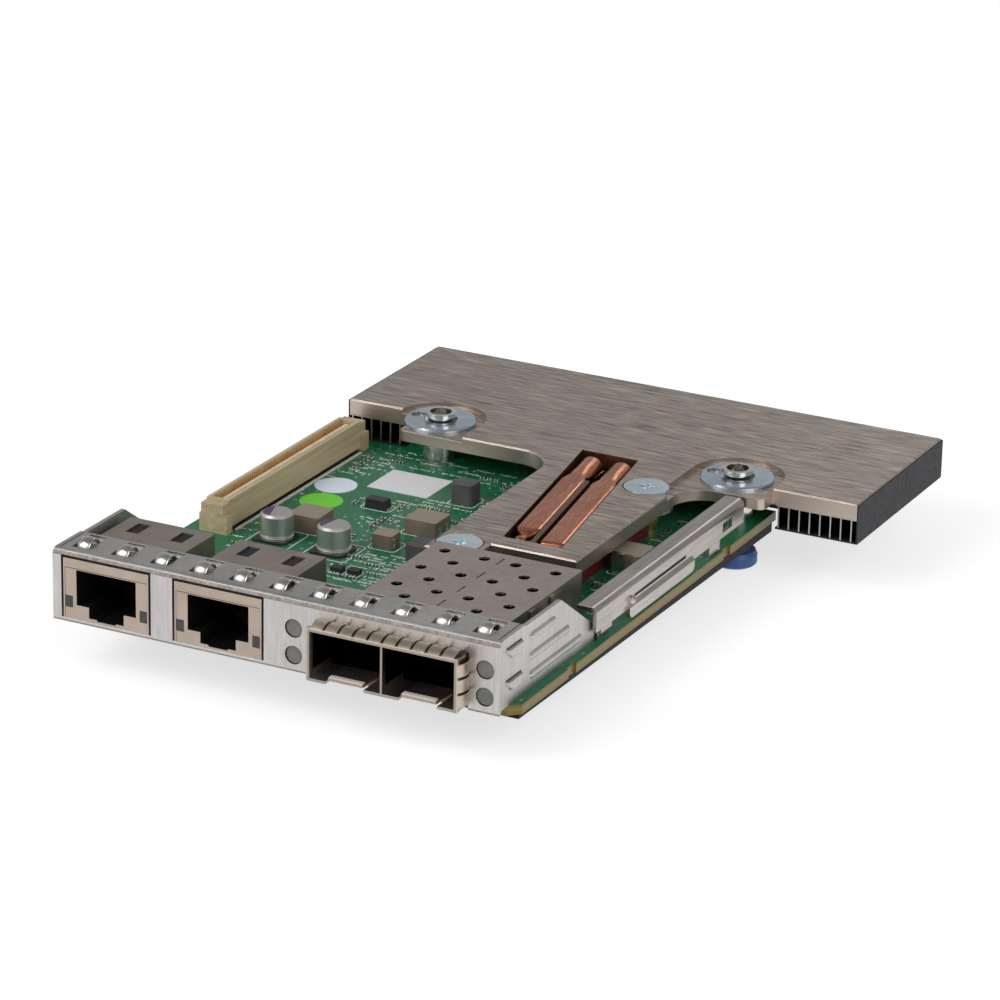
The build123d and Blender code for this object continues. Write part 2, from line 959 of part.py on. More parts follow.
def divider_cut():
    """Open the two pockets into one behind the divider's end."""
    x0, x1 = pocket_line(0, divider_back), pocket_line(1, divider_back)
    back0, back1 = pocket_line(0, pocket_back), pocket_line(1, pocket_back)
    outline = ring_of([
        (x0, divider_back), (x1, divider_back), (back1, pocket_back), (back0, pocket_back),
    ])
    return along_z(outline, sink_under, sink_top)


def heat_sink_plate():
    """The brushed plate: outline, stepped ears, pipe pockets, screw seats, bosses, pedestal."""
    plate = along_z(sink_outline(), sink_under, sink_top)
    upright = plate.edges().filter_by(Axis.Z)
    ear_corners = [
        e for e in upright
        if abs(e.center().Y - ear_front) < corner_round
        and (abs(e.center().X - left_ear_side) < corner_round
             or abs(e.center().X - right_ear_side) < corner_round)
    ]
    plate = fillet(ear_corners, corner_round)
    rim = plate.faces().sort_by(Axis.Z)[-1].outer_wire().edges()
    plate = chamfer(rim, edge_break)
    plate += centred(chip_centre, pedestal_half, pedestal_half, pad_top, sink_under)
    for place in flat_screws:
        plate += rod(place, boss_radius, boss_under, sink_under) & boss_bound()
    for index in (0, 1):
        plate -= pocket_cut(index, pocket_front, pocket_bottom)
        plate -= pocket_cut(index, pipe_neck_back - window_margin, sink_under)
    plate -= divider_cut()
    for _, place in captive_axes():
        plate -= ear_recess_cut(place)
        plate -= rod(place, sleeve_neck_radius + sleeve_hole_gap, sink_under, ear_floor)
    for place in flat_screws:
        seat = sink_top - flat_head_thick
        plate -= rod(place, flat_head_radius + flat_head_gap, seat, sink_top)
        plate -= rod(place, flat_shank_radius + flat_shank_gap, boss_under, seat)
    return plate


def boss_bound():
    """Keeps a screw boss inside the tongue's plan."""
    return block(
        tongue_left, tongue_right, tongue_tip_front, sink_back, boss_under, sink_under,
    )


def fin_zone(x0, x1, front):
    """A bank of fins under a thin root sheet, between two sides and from a front to the back."""
    bank = block(x0, x1, front, sink_back, sink_under - fin_root, sink_under)
    count = int((x1 - x0 - fin_first_inset - fin_thick) / fin_pitch) + 1
    for i in range(count):
        x = x0 + fin_first_inset + i * fin_pitch
        bank += block(x, x + fin_thick, front, sink_back, fin_floor, sink_under - fin_root)
    return bank


def fin_zones():
    """Left, middle and right banks of fins: sides and front of each."""
    return [
        (sink_left, fin_left_block, sink_left_front),
        (fin_left_block, fin_right_block, fin_mid_front),
        (fin_right_block, sink_right, sink_right_front),
    ]


def heat_sink_fins():
    """Three banks of thin fins, soldered side by side under the plate."""
    banks = [fin_zone(*zone) for zone in fin_zones()]
    fins = banks[0]
    for bank in banks[1:]:
        fins += bank
    return fins


def fin_wrap():
    """Black film folded up round the fins from below, closing both sides of the air way."""
    floor = None
    for x0, x1, front in fin_zones():
        sheet_part = block(x0, x1, front, sink_back, fin_floor - wrap_thick, fin_floor)
        floor = sheet_part if floor is None else floor + sheet_part
    low = fin_floor - wrap_thick
    floor += block(
        sink_left - wrap_thick, sink_left, sink_left_front, sink_back, low, sink_top - edge_break,
    )
    floor += block(
        sink_right, wrap_right, sink_right_front, sink_back, low, sink_top - edge_break,
    )
    return floor


def pipe_section(index, y, width, height, low):
    """A rounded cross-section of a heat pipe, square to its leaning run."""
    x = pocket_line(index, y)
    lean = radians(pipe_tilt)
    plane = Plane(
        origin=(x, y, low + height / 2),
        x_dir=(cos(lean), sin(lean), 0),
        z_dir=(-sin(lean), cos(lean), 0),
    )
    radius = min(width, height) / 2 - edge_break / 4
    return plane * RectangleRounded(width, height, radius)


def heat_pipe(index):
    """A copper pipe: flat in its pocket, round at the head, then down under the plate to the fins."""
    front = pipe_fronts[index]
    head_top = sink_top - pipe_head_gap
    low_top = sink_under - pipe_low_gap
    stations = [
        (front, pipe_width, pipe_flat, pocket_bottom),
        (pipe_neck_back, pipe_width, pipe_flat, pocket_bottom),
        (pipe_head_back, pipe_round, pipe_round, head_top - pipe_round),
        (pipe_brow_back, pipe_round, pipe_round, head_top - pipe_brow_gap - pipe_round),
        (pipe_dive_back, pipe_round, pipe_round, low_top - pipe_round),
        (fin_mid_front - window_margin, pipe_round, pipe_round, low_top - pipe_round),
    ]
    sections = [pipe_section(index, *station) for station in stations]
    pipe = loft(sections[:2])
    for near, far in zip(sections[1:-1], sections[2:]):
        pipe += loft([near, far])
    return pipe + pinched_end() if index == 0 else pipe


def pinched_end():
    """The left pipe's sealed end: pinched from flat to a stem that ends in a ball."""
    front, neck = pipe_fronts[0], pipe_fronts[0] - nub_taper
    width = 2 * nub_radius
    wide = pipe_section(0, front, pipe_width, pipe_flat, pocket_bottom)
    narrow = pipe_section(0, neck, width, width, pocket_bottom)
    stem_end = pipe_section(0, nub_end, width, width, pocket_bottom)
    end = loft([wide, narrow]) + loft([narrow, stem_end])
    return end + Pos(pocket_line(0, nub_end), nub_end, pocket_bottom + nub_ball) * Sphere(nub_ball)


def cross_recess(place, top):
    """A plain cross-shaped driver recess."""
    long, thin = cross_length / 2, cross_width / 2
    low = top - cross_depth
    return centred(place, long, thin, low, top) + centred(place, thin, long, low, top)


def plate_screws():
    """Two flat-headed screws that hold the plate down on its posts."""
    screws = []
    for place in flat_screws:
        seat = sink_top - flat_head_thick
        screw = rod(place, flat_head_radius, seat, sink_top)
        screw += rod(place, flat_shank_radius, seat - flat_shank_length, seat)
        screws.append(screw - cross_recess(place, sink_top))
    return Compound(children=screws)


def plate_posts():
    """Posts on the board under the plate's bosses, bored for the flat screws."""
    posts = []
    for place in flat_screws:
        bore_floor = sink_top - flat_head_thick - flat_shank_length
        post = rod(place, post_radius, 0, boss_under)
        posts.append(post - rod(place, flat_shank_radius, bore_floor, boss_under))
    return Compound(children=posts)


def captive_sleeve(place):
    """The captive screw's sleeve: flange under the board, stand-off above it, lipped neck on top."""
    chamber_end = chamber_top + guide_thick
    return turned(place, [
        (knob_radius + mouth_gap, flange_bottom),
        (sleeve_flange_radius, flange_bottom),
        (sleeve_flange_radius, -board_thick),
        (sleeve_radius, -board_thick),
        (sleeve_radius, sink_under),
        (sleeve_neck_radius, sink_under),
        (sleeve_neck_radius, ear_floor),
        (sleeve_groove_radius, ear_floor),
        (sleeve_groove_radius, sleeve_top - sleeve_lip_thick),
        (sleeve_lip_radius, sleeve_top - sleeve_lip_thick),
        (sleeve_lip_radius, sleeve_top),
        (sleeve_mouth, sleeve_top),
        (sleeve_mouth, sleeve_top - sleeve_mouth_depth),
        (sleeve_bore, sleeve_top - sleeve_mouth_depth),
        (sleeve_bore, chamber_end),
        (shank_radius + shank_gap, chamber_end),
        (shank_radius + shank_gap, chamber_top),
        (chamber_radius, chamber_top),
        (chamber_radius, mouth_top),
        (knob_radius + mouth_gap, mouth_top),
    ])


def captive_washer(place):
    """A zinc keyhole washer on the ear's floor, round the sleeve's neck."""
    x, y = place
    top = ear_floor + washer_thick
    key = (x - keyhole_offset, y)
    washer = rod(place, washer_radius, ear_floor, top)
    washer = chamfer(washer.edges().sort_by(Axis.Z)[-1:], edge_break)
    washer -= rod(place, washer_hole_radius, ear_floor, top)
    washer -= rod(key, keyhole_radius, ear_floor, top)
    washer -= block(
        key[0], x, y - keyhole_neck / 2, y + keyhole_neck / 2, ear_floor, top,
    )
    return washer


def captive_collar(place):
    """A black plastic collar round the sleeve's flange, under the board."""
    return turned(place, [
        (sleeve_flange_radius, collar_bottom),
        (collar_radius, collar_bottom),
        (collar_radius, -board_thick),
        (sleeve_flange_radius, -board_thick),
    ])


def captive_screw(place):
    """The steel screw: a rim kept behind the sleeve's mouth, its shank and a tail in the knob."""
    return turned(place, [
        (0, mouth_top - shank_tail),
        (shank_radius, mouth_top - shank_tail),
        (shank_radius, mouth_top),
        (rim_radius, mouth_top),
        (rim_radius, rim_top),
        (shank_radius, rim_top),
        (shank_radius, shank_tip - shank_point),
        (shank_radius - shank_point, shank_tip),
        (0, shank_tip),
    ])


def captive_knob(place):
    """The blue knob pressed on the screw's tail: neck, broad head and a driver recess in its end."""
    knob = turned(place, [
        (0, knob_bottom),
        (knob_head_radius - knob_edge, knob_bottom),
        (knob_head_radius, knob_bottom + knob_edge),
        (knob_head_radius, knob_head_top - knob_shoulder),
        (knob_head_radius - knob_shoulder / 2, knob_head_top),
        (knob_radius, knob_head_top),
        (knob_radius, mouth_top),
        (shank_radius, mouth_top),
        (shank_radius, mouth_top - shank_tail),
        (0, mouth_top - shank_tail),
    ])
    long, thin = knob_drive_length / 2, knob_drive_width / 2
    top = knob_bottom + knob_drive_depth
    knob -= centred(place, long, thin, knob_bottom, top)
    knob -= centred(place, thin, long, knob_bottom, top)
    return knob


def captive_spring(place):
    """The return spring between the screw's rim and the sleeve's guide."""
    half = spring_wire / 2
    height = chamber_top - rim_top - spring_wire
    path = Helix(height / spring_turns, height, spring_mean_radius)
    start = path @ 0
    section = Plane(origin=start, z_dir=path % 0) * Rectangle(spring_wire, spring_wire)
    coil = sweep(section, path, is_frenet=True)
    return Pos(place[0], place[1], rim_top + half) * coil


def controller_chip():
    """The network controller: package base and a smaller metal lid."""
    chip = centred(chip_centre, chip_half, chip_half, 0, chip_base_thick)
    return chip + centred(chip_centre, lid_half, lid_half, chip_base_thick, chip_top)


def thermal_pad():
    """Soft pad between the chip's lid and the plate's pedestal."""
    return centred(chip_centre, lid_half, lid_half, chip_top, pad_top)


def chip_frame():
    """Red frame standing on the board round the chip."""
    frame = centred(chip_centre, frame_half_width, frame_half_length, 0, frame_height)
    return frame - centred(
        chip_centre, frame_half_width - frame_rim, frame_half_length - frame_rim,
        0, frame_height,
    )


def rail_panel_bulge():
    """The web's pressed-out panel: a sheet that swells outwards, round at its lower corners."""
    inner, outer = rail_right - rail_sheet, rail_right + rail_panel_out
    outline = ring_of([
        (inner, rail_panel_high),
        (inner, rail_panel_high - rail_sheet),
        (outer - rail_sheet, rail_panel_high - 2 * rail_sheet),
        (outer - rail_sheet, rail_panel_low),
        (outer, rail_panel_low),
        (outer, rail_panel_high - rail_sheet),
        (rail_right, rail_panel_high),
    ])
    y0, y1 = rail_panel
    side = make_face(ring_of([
        (y0, rail_panel_low), (y1, rail_panel_low), (y1, rail_panel_high), (y0, rail_panel_high),
    ]))
    side = fillet(side.vertices().sort_by(Axis.Y)[:2], rail_panel_round)
    keep = Pos(inner, 0, 0) * extrude(Plane.YZ * side, outer - inner)
    return along_y(outline, y0, y1) & keep


def guide_rail():
    """The bent rail along the right edge: top strip, web with feet, pressed panel, slot and ball."""
    left = rail_right - rail_width
    inner = rail_right - rail_sheet
    profile = make_face(ring_of([
        (rail_right, rail_open_low),
        (rail_right, rail_top),
        (left, rail_top),
        (left, rail_top - rail_sheet),
        (inner, rail_top - rail_sheet),
        (inner, rail_open_low),
    ]))
    bend = profile.vertices().sort_by(SortBy.DISTANCE)[-1:]
    profile = fillet(bend, rail_bend)
    rail = Pos(0, rail_back, 0) * extrude(Plane.XZ * profile, rail_back - rail_front)
    rail += rail_panel_bulge()
    rail += block(inner, rail_right, *rail_rear_foot, 0, rail_open_low)
    rail += block(inner, rail_right, *rail_foot, rail_foot_low, rail_open_low)
    rail += block(inner - rail_sheet, inner, *rail_foot, 0, rail_open_low + rail_sheet)
    rail -= block(inner, rail_right, *rail_hole, rail_hole_low, rail_hole_high)
    rail -= block(inner, rail_right, *rail_slot, rail_slot_low, rail_slot_high)
    ball = Pos(rail_right, rail_ball_back, rail_ball_height) * Sphere(rail_ball_radius)
    outside = block(
        rail_right, rail_right + rail_ball_radius, rail_front, rail_back, 0, rail_top,
    )
    return rail + (ball & outside)


def capacitor_cans():
    """Two aluminium cans, with a lip and a rolled waist at the foot and a rounded top edge."""
    cans = []
    lip_top = can_base_height + can_lip_thick
    for place in can_places:
        cans.append(turned(place, [
            (0, can_base_height),
            (can_radius + can_lip, can_base_height),
            (can_radius + can_lip, lip_top),
            (can_radius - can_waist, lip_top + can_waist),
            (can_radius, lip_top + 2 * can_waist),
            (can_radius, can_height - can_edge),
            (can_radius - can_edge, can_height),
            (0, can_height),
        ]))
    return Compound(children=cans)


def capacitor_bases():
    """Black square bases of the cans, with two clipped corners each."""
    bases = []
    half = can_base_half
    clip = half - can_base_corner
    for x, y in can_places:
        outline = ring_of([
            (x - half, y - half), (x + clip, y - half), (x + half, y - clip),
            (x + half, y + clip), (x + clip, y + half), (x - half, y + half),
        ])
        bases.append(along_z(outline, 0, can_base_height))
    return Compound(children=bases)


def coil(spec):
    """A moulded power inductor with bevelled upright corners."""
    place, size, height = spec
    body = centred(place, size[0] / 2, size[1] / 2, 0, height)
    return chamfer(body.edges().filter_by(Axis.Z), coil_edge)


def side_inductor():
    """The inductor by the guide rail, notched where its terminals fold up its front."""
    place, size, height = side_coil
    body = coil(side_coil)
    front = place[1] - size[1] / 2
    return body - block(
        place[0] - size[0] / 4, place[0] + size[0] / 4, front, front + coil_foot,
        coil_foot_rise, height,
    )


def diode_body():
    """The diode's moulded body, narrower at the top."""
    place, size, height = diode
    base = Pos(place[0], place[1], 0) * Rectangle(size[0], size[1])
    return extrude(base, height, taper=6)


def diode_leads():
    """Flat leads at both ends of the diode."""
    place, size, _ = diode
    leads = []
    for side in (-1, 1):
        edge = place[0] + side * size[0] / 2
        end = edge + side * diode_lead_reach
        leads.append(block(
            min(edge, end), max(edge, end), place[1] - diode_lead_width / 2,
            place[1] + diode_lead_width / 2, 0, diode_lead_thick,
        ))
    return Compound(children=leads)


def small_regulators():
    """Small regulator packages."""
    x, y, z = regulator_size
    return Compound(children=[centred(p, x / 2, y / 2, 0, z) for p in regulators])


def chip_passives():
    """Rows of chip resistors and capacitors."""
    x, y, z = chip_size
    chips = []
    for start, step, count in zip(chip_row_starts, chip_row_steps, chip_row_counts):
        for i in range(count):
            place = (start[0] + i * step[0], start[1] + i * step[1])
            chips.append(centred(place, x / 2, y / 2, 0, z))
    return Compound(children=chips)


def sticker(spec):
    """A round sticker on the board."""
    place, radius = spec
    return rod(place, radius, 0, label_thick)


def all_pieces():
    """Every named piece of the card."""
    pieces = {
        "circuit_board": circuit_board(),
        "underside_film": underside_film(),
        "faceplate": faceplate(),
        "emi_finger_strip": emi_finger_strip(),
        "status_light_pipes": status_light_pipes(),
        "sfp_cage": sfp_cage(),
        "sfp_gasket": sfp_gasket(),
        "mezz_housing": mezz_housing(),
        "mezz_contacts": mezz_contacts(),
        "heat_sink_plate": heat_sink_plate(),
        "heat_sink_fins": heat_sink_fins(),
        "fin_wrap": fin_wrap(),
        "heat_pipe_left": heat_pipe(0),
        "heat_pipe_right": heat_pipe(1),
        "plate_screws": plate_screws(),
        "plate_posts": plate_posts(),
        "controller_chip": controller_chip(),
        "thermal_pad": thermal_pad(),
        "chip_frame": chip_frame(),
        "guide_rail": guide_rail(),
        "capacitor_cans": capacitor_cans(),
        "capacitor_bases": capacitor_bases(),
        "large_inductor": coil(large_coil),
        "tall_inductor": coil(tall_coil),
        "flat_inductor": coil(flat_coil),
        "small_inductor": coil(small_coil),
        "near_inductor": coil(near_coil),
        "side_inductor": side_inductor(),
        "diode_body": diode_body(),
        "diode_leads": diode_leads(),
        "small_regulators": small_regulators(),
        "chip_passives": chip_passives(),
        "board_label": centred(
            label_centre, label_size[0] / 2, label_size[1] / 2, 0, label_thick,
        ),
        "white_sticker": sticker(white_sticker),
        "green_sticker": sticker(green_sticker),
    }
    for side, centre in zip(("left", "right"), jack_centres):
        pieces[f"jack_shield_{side}"] = jack_shield(centre)
        pieces[f"jack_housing_{side}"] = jack_housing(centre)
        pieces[f"jack_contacts_{side}"] = jack_contacts(centre)
        pieces[f"jack_lamps_{side}"] = jack_lamps(centre)
    for side, x in zip(("left", "right"), cage_port_centres):
        pieces[f"sfp_connector_{side}"] = sfp_connector(x)
    for side, place in captive_axes():
        pieces[f"captive_sleeve_{side}"] = captive_sleeve(place)
        pieces[f"captive_washer_{side}"] = captive_washer(place)
        pieces[f"captive_collar_{side}"] = captive_collar(place)
        pieces[f"captive_screw_{side}"] = captive_screw(place)
        pieces[f"captive_knob_{side}"] = captive_knob(place)
        pieces[f"captive_spring_{side}"] = captive_spring(place)
    return pieces


os.makedirs("parts", exist_ok=True)
to_frame = Pos(-frame_origin.X, -frame_origin.Y, -frame_origin.Z)
for name, piece in all_pieces().items():
    export_step(to_frame * piece, f"parts/{name}.step")
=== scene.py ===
# %% [markdown]
# A mezzanine network card, dressed in Blender.
#
# The CAD model holds every hard piece at its real size, so this lesson keeps those solids and gives
# them finishes, then adds what is too fine for solids: print, solder, contacts. The first cell
# loads the imported card as a fixed frame and keeps its box.

# %% Load the imported card
import json
import math

import bpy
import numpy as np
from mathutils import Matrix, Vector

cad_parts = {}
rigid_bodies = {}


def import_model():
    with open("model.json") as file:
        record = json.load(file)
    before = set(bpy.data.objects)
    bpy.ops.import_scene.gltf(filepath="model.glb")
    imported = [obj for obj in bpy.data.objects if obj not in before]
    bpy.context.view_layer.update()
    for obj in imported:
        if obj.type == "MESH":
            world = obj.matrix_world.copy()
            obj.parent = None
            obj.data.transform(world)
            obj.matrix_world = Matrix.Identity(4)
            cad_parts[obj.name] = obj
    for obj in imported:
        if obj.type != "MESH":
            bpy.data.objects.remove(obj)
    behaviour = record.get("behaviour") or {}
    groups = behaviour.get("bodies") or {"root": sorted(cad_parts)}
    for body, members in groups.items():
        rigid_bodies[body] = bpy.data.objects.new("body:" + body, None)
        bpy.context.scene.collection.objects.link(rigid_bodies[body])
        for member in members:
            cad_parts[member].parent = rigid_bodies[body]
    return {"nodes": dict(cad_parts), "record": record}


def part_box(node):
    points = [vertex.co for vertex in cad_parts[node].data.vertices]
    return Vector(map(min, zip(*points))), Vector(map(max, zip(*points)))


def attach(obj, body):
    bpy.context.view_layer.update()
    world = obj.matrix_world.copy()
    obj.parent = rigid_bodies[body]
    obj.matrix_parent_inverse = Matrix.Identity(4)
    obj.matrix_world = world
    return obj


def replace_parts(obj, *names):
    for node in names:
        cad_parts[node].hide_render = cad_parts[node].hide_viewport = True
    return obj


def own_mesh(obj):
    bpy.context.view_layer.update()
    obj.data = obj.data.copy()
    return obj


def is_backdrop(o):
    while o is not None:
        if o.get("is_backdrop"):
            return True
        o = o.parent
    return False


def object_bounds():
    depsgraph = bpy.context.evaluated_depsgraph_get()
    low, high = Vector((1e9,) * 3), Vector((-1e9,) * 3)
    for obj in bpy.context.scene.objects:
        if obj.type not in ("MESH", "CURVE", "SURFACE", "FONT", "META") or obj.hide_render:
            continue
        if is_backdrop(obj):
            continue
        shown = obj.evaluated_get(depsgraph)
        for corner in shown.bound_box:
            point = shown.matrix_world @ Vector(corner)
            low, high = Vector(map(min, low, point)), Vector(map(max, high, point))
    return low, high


for leftover in list(bpy.data.objects):
    bpy.data.objects.remove(leftover)
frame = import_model()
cad_low, cad_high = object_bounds()
nodes = frame["nodes"]

# %% [markdown]
# The card was drawn from its board, in millimetres: X along the faceplate from its left side, Y
# back from its front, Z up from the board's top. Reading that corner from the CAD boxes keeps every
# added piece on the piece that carries it.

# %% The board's own datum
MM = 0.001
face_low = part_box("faceplate")[0]
DATUM = np.array([face_low.x, face_low.y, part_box("circuit_board")[1].z])


def at(x, y, z):
    """Board millimetres as metres in the card's frame: datum plus a thousandth of the place."""
    return DATUM + MM * np.array([x, y, z], float)


def in_mm(node):
    """The lowest and highest corners of a CAD piece, in board millimetres."""
    low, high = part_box(node)
    return (np.array(low) - DATUM) / MM, (np.array(high) - DATUM) / MM


print("board datum at", np.round(DATUM / MM, 2), "mm")

# %% [markdown]
# A finish is a little sum: so much noise, times a mask, plus a colour. In Blender's nodes a sum is
# many lines, so one small class wraps a socket and lets Python's operators add the Math nodes. A
# second holds one material, sets what is even on the shader itself, and makes any other node from
# its type, settings and inputs.

# %% Shader sums in Python
GRAIN_DEPTH, EDGE_RADIUS = 0.01 * MM, 0.1 * MM


class Wire:
    """A shader socket that takes part in sums: every operator adds one Math node."""

    def __init__(self, finish, socket):
        self.finish = finish
        self.socket = socket

    def math(self, operation, *values):
        """One Math node on the given values, in order."""
        return self.finish.node("ShaderNodeMath", {"operation": operation}, dict(enumerate(values)))

    def __add__(self, other):
        return self.math("ADD", self, other)

    def __rsub__(self, other):
        return self.math("SUBTRACT", other, self)

    def __mul__(self, other):
        return self.math("MULTIPLY", self, other)

    def __gt__(self, other):
        return self.math("GREATER_THAN", self, other)

    def __lt__(self, other):
        return self.math("LESS_THAN", self, other)


class Finish:
    """One material, or the world: a shader, with what is even set on its sockets."""

    def __init__(self, name, world=None, shader="Principled BSDF", **even):
        self.material = world or bpy.data.materials.new(name)
        self.material.use_nodes = True
        self.tree = self.material.node_tree
        self.shader = self.tree.nodes[shader]
        for socket, value in even.items():
            self.shader.inputs[socket.replace("_", " ")].default_value = value

    def node(self, kind, settings=None, inputs=None, output=0):
        """Add a node: its settings first, then values or links into its sockets."""
        made = self.tree.nodes.new(kind)
        for key, value in (settings or {}).items():
            setattr(made, key, value)
        for key, value in (inputs or {}).items():
            if isinstance(value, Wire):
                self.tree.links.new(value.socket, made.inputs[key])
            else:
                made.inputs[key].default_value = value
        return Wire(self, made.outputs[output])

    def feed(self, socket, wire):
        """Link what changes over the surface to one socket of the shader."""
        self.tree.links.new(wire.socket, self.shader.inputs[socket])
        return self

    def spot(self, scale=1.0):
        """Object coordinates, stretched to so many turns per metre, on all axes or on each."""
        place = self.node("ShaderNodeTexCoord", output="Object")
        stretch = np.broadcast_to(np.array(scale, float), 3).tolist()
        return self.node("ShaderNodeMapping", {}, {"Vector": place, "Scale": stretch})

    def noise(self, scale, detail=2.0, rough=0.5):
        """Cloudy noise between 0 and 1, with so many spots per metre."""
        inputs = {"Vector": self.spot(scale), "Scale": 1.0, "Detail": detail, "Roughness": rough}
        return self.node("ShaderNodeTexNoise", {}, inputs)

    def wave(self, direction, scale, bend=0.0):
        """Bands along one axis, between 0 and 1, bent by a little noise."""
        inputs = {"Vector": self.spot(), "Scale": scale, "Distortion": bend}
        return self.node("ShaderNodeTexWave", {"bands_direction": direction}, inputs, output=1)

    def ranged(self, value, low, high, to_low=0.0, to_high=1.0):
        """Carry a value from one range to another, held at both ends."""
        inputs = {0: value, 1: low, 2: high, 3: to_low, 4: to_high}
        return self.node("ShaderNodeMapRange", {"clamp": True}, inputs)

    def wander(self, noise, low=0.0, high=1.0):
        """Carry the middle of a noise, from 0.3 to 0.7, to a range."""
        return self.ranged(noise, 0.3, 0.7, low, high)

    def gloss(self, noise, low, high):
        """Let the roughness wander between two values with a noise."""
        return self.feed("Roughness", self.wander(noise, low, high))

    def mix(self, share, first, second):
        """A colour between two colours."""
        colours = [c if isinstance(c, Wire) else (*c, 1.0) for c in (first, second)]
        inputs = {0: share, 6: colours[0], 7: colours[1]}
        return self.node("ShaderNodeMix", {"data_type": "RGBA"}, inputs, output=2)

    def mottled(self, grain, dark, light, spread=0.15, cloud=90):
        """A fine noise, a wide one, and two close tints mixed by the mean of both."""
        fine, wide = self.noise(grain, detail=3.0, rough=0.6), self.noise(cloud)
        share = self.ranged(fine * 0.5 + wide * 0.5, 0.5 - spread, 0.5 + spread)
        return fine, wide, self.mix(share, dark, light)

    def topped(self, tint, top):
        """A tint, or another on the faces that look up where one is given."""
        return self.mix(self.facing("Z") > 0.7, tint, top) if top else tint

    def coordinate(self, kind, axis):
        """One axis of a texture coordinate."""
        spot = self.node("ShaderNodeTexCoord", output=kind)
        return self.node("ShaderNodeSeparateXYZ", {}, {0: spot}, output=axis)

    def place(self, axis):
        """One object coordinate in metres."""
        return self.coordinate("Object", axis)

    def facing(self, axis):
        """How far the surface faces along one object axis, from -1 to 1."""
        return self.coordinate("Normal", axis)

    def bump(self, height, depth=GRAIN_DEPTH, edge=0.0):
        """Raise the surface by a height in metres, over edges rounded by a small radius."""
        inputs = {"Height": height, "Distance": depth, "Strength": 1.0}
        if edge:
            inputs["Normal"] = self.node("ShaderNodeBevel", {"samples": 6}, {"Radius": edge})
        return self.feed("Normal", self.node("ShaderNodeBump", {}, inputs))


print("shader helpers ready")

# %% [markdown]
# The cooler's top is belt-ground, with fine scratches along its long side: a noise drawn out some
# thirty times along X. Two scales are added, because a belt leaves hairlines and broad bands, and
# the same value moves colour, gloss and bump. The sawn sides have none, so the way the surface
# faces picks between the two. The pocket for the heat pipes is cut into the plate, and its dark
# brown is painted shade with a painted reflection of the copper: it leans, so a sum of X and Y
# tells what lies in it.

# %% Brushed plate
LEAN = math.radians(9.1)
POCKET_FRONT, POCKET_BACK, POCKET_BACK_LEFT = 55.6, 104.4, 53.5
POCKET_WIDTH, POCKET_STEP, POCKET_MARGIN = 5.4, 6.3, 0.04


def pocket_mask(f):
    """One inside the leaning pocket, seen from above, and nought outside."""
    slope = math.tan(LEAN)
    left, back = at(POCKET_BACK_LEFT, POCKET_BACK, 0)[:2]
    start = left + slope * back - POCKET_MARGIN * MM
    end = start + MM * ((POCKET_STEP + POCKET_WIDTH) / math.cos(LEAN) + 2 * POCKET_MARGIN)
    y = f.place("Y")
    run = f.place("X") + y * slope
    return (run > start) * (run < end) * (y > at(0, POCKET_FRONT, 0)[1]) * (y < back)


def brushed_plate():
    """Belt-ground metal: colour and roughness follow streaks along X on faces that look up."""
    f = Finish("brushed_plate", Metallic=1.0)
    fine = f.noise((150, 4300, 4300), detail=3.0, rough=0.6)
    broad = f.noise((60, 2200, 2200))
    cloud = f.noise(45)
    streak = fine * 0.75 + broad * 0.25
    up = f.ranged(f.facing("Z"), 0.5, 0.8)
    share = f.ranged(streak, 0.41, 0.6)
    ground = f.mix(share, (0.215, 0.172, 0.148), (0.77, 0.67, 0.59))
    ground = f.mix(f.ranged(cloud, 0.35, 0.7, 0.0, 0.25), ground, (0.44, 0.37, 0.33))
    sawn = f.mix(cloud, (0.47, 0.395, 0.34), (0.62, 0.53, 0.455))
    # Inside the pocket: a dark brown that is painted shade with a painted reflection of the copper.
    pocket_shade = f.mix(fine, (0.135, 0.085, 0.06), (0.25, 0.165, 0.12))
    f.feed("Base Color", f.mix(pocket_mask(f), f.mix(up, sawn, ground), pocket_shade))
    f.gloss(streak, 0.32, 0.46)
    return f.bump(streak * up, 0.03 * MM, edge=0.15 * MM)


# %% [markdown]
# Heat pipes are drawn copper tube: satin, a little darker where flux and fingers have been. Tin,
# nickel, zinc and steel differ mostly in tint and gloss, so one function makes all the plated sheet
# from two tints, a gloss range and the size of the mottling.

# %% Copper and plated sheet


def copper():
    """Drawn copper: draw marks along the pipe, and patina in soft clouds."""
    f = Finish("drawn_copper", Metallic=1.0)
    marks = f.noise((3600, 500, 3600))
    patina = f.noise((260, 90, 260), detail=4.0, rough=0.6)
    share = f.ranged(marks, 0.35, 0.65)
    bright = f.mix(share, (0.46, 0.165, 0.084), (0.68, 0.292, 0.166))
    share = f.ranged(patina, 0.4, 0.72, 0.0, 0.7)
    f.feed("Base Color", f.mix(share, bright, (0.35, 0.118, 0.06)))
    f.gloss(patina, 0.12, 0.26)
    return f.bump(marks, 0.003 * MM, edge=0.25 * MM)


def sheet_metal(name, dark, light, gloss, grain=500, top=None):
    """Plated sheet: two close tints in fine mottling, and a top tint for faces that look up."""
    f = Finish(name, Metallic=1.0)
    fine, wide, tint = f.mottled(grain, dark, light)
    f.feed("Base Color", f.topped(tint, top))
    f.gloss(wide, *gloss)
    return f.bump(fine, edge=EDGE_RADIUS)


# %% [markdown]
# Moulded plastics show a fine grain and a faint change of tone. Film and paper labels are flat
# sheets, and their pattern lies in the sheet.

# %% Plastics, film and paper
FIBRE_DEPTH = 0.008 * MM


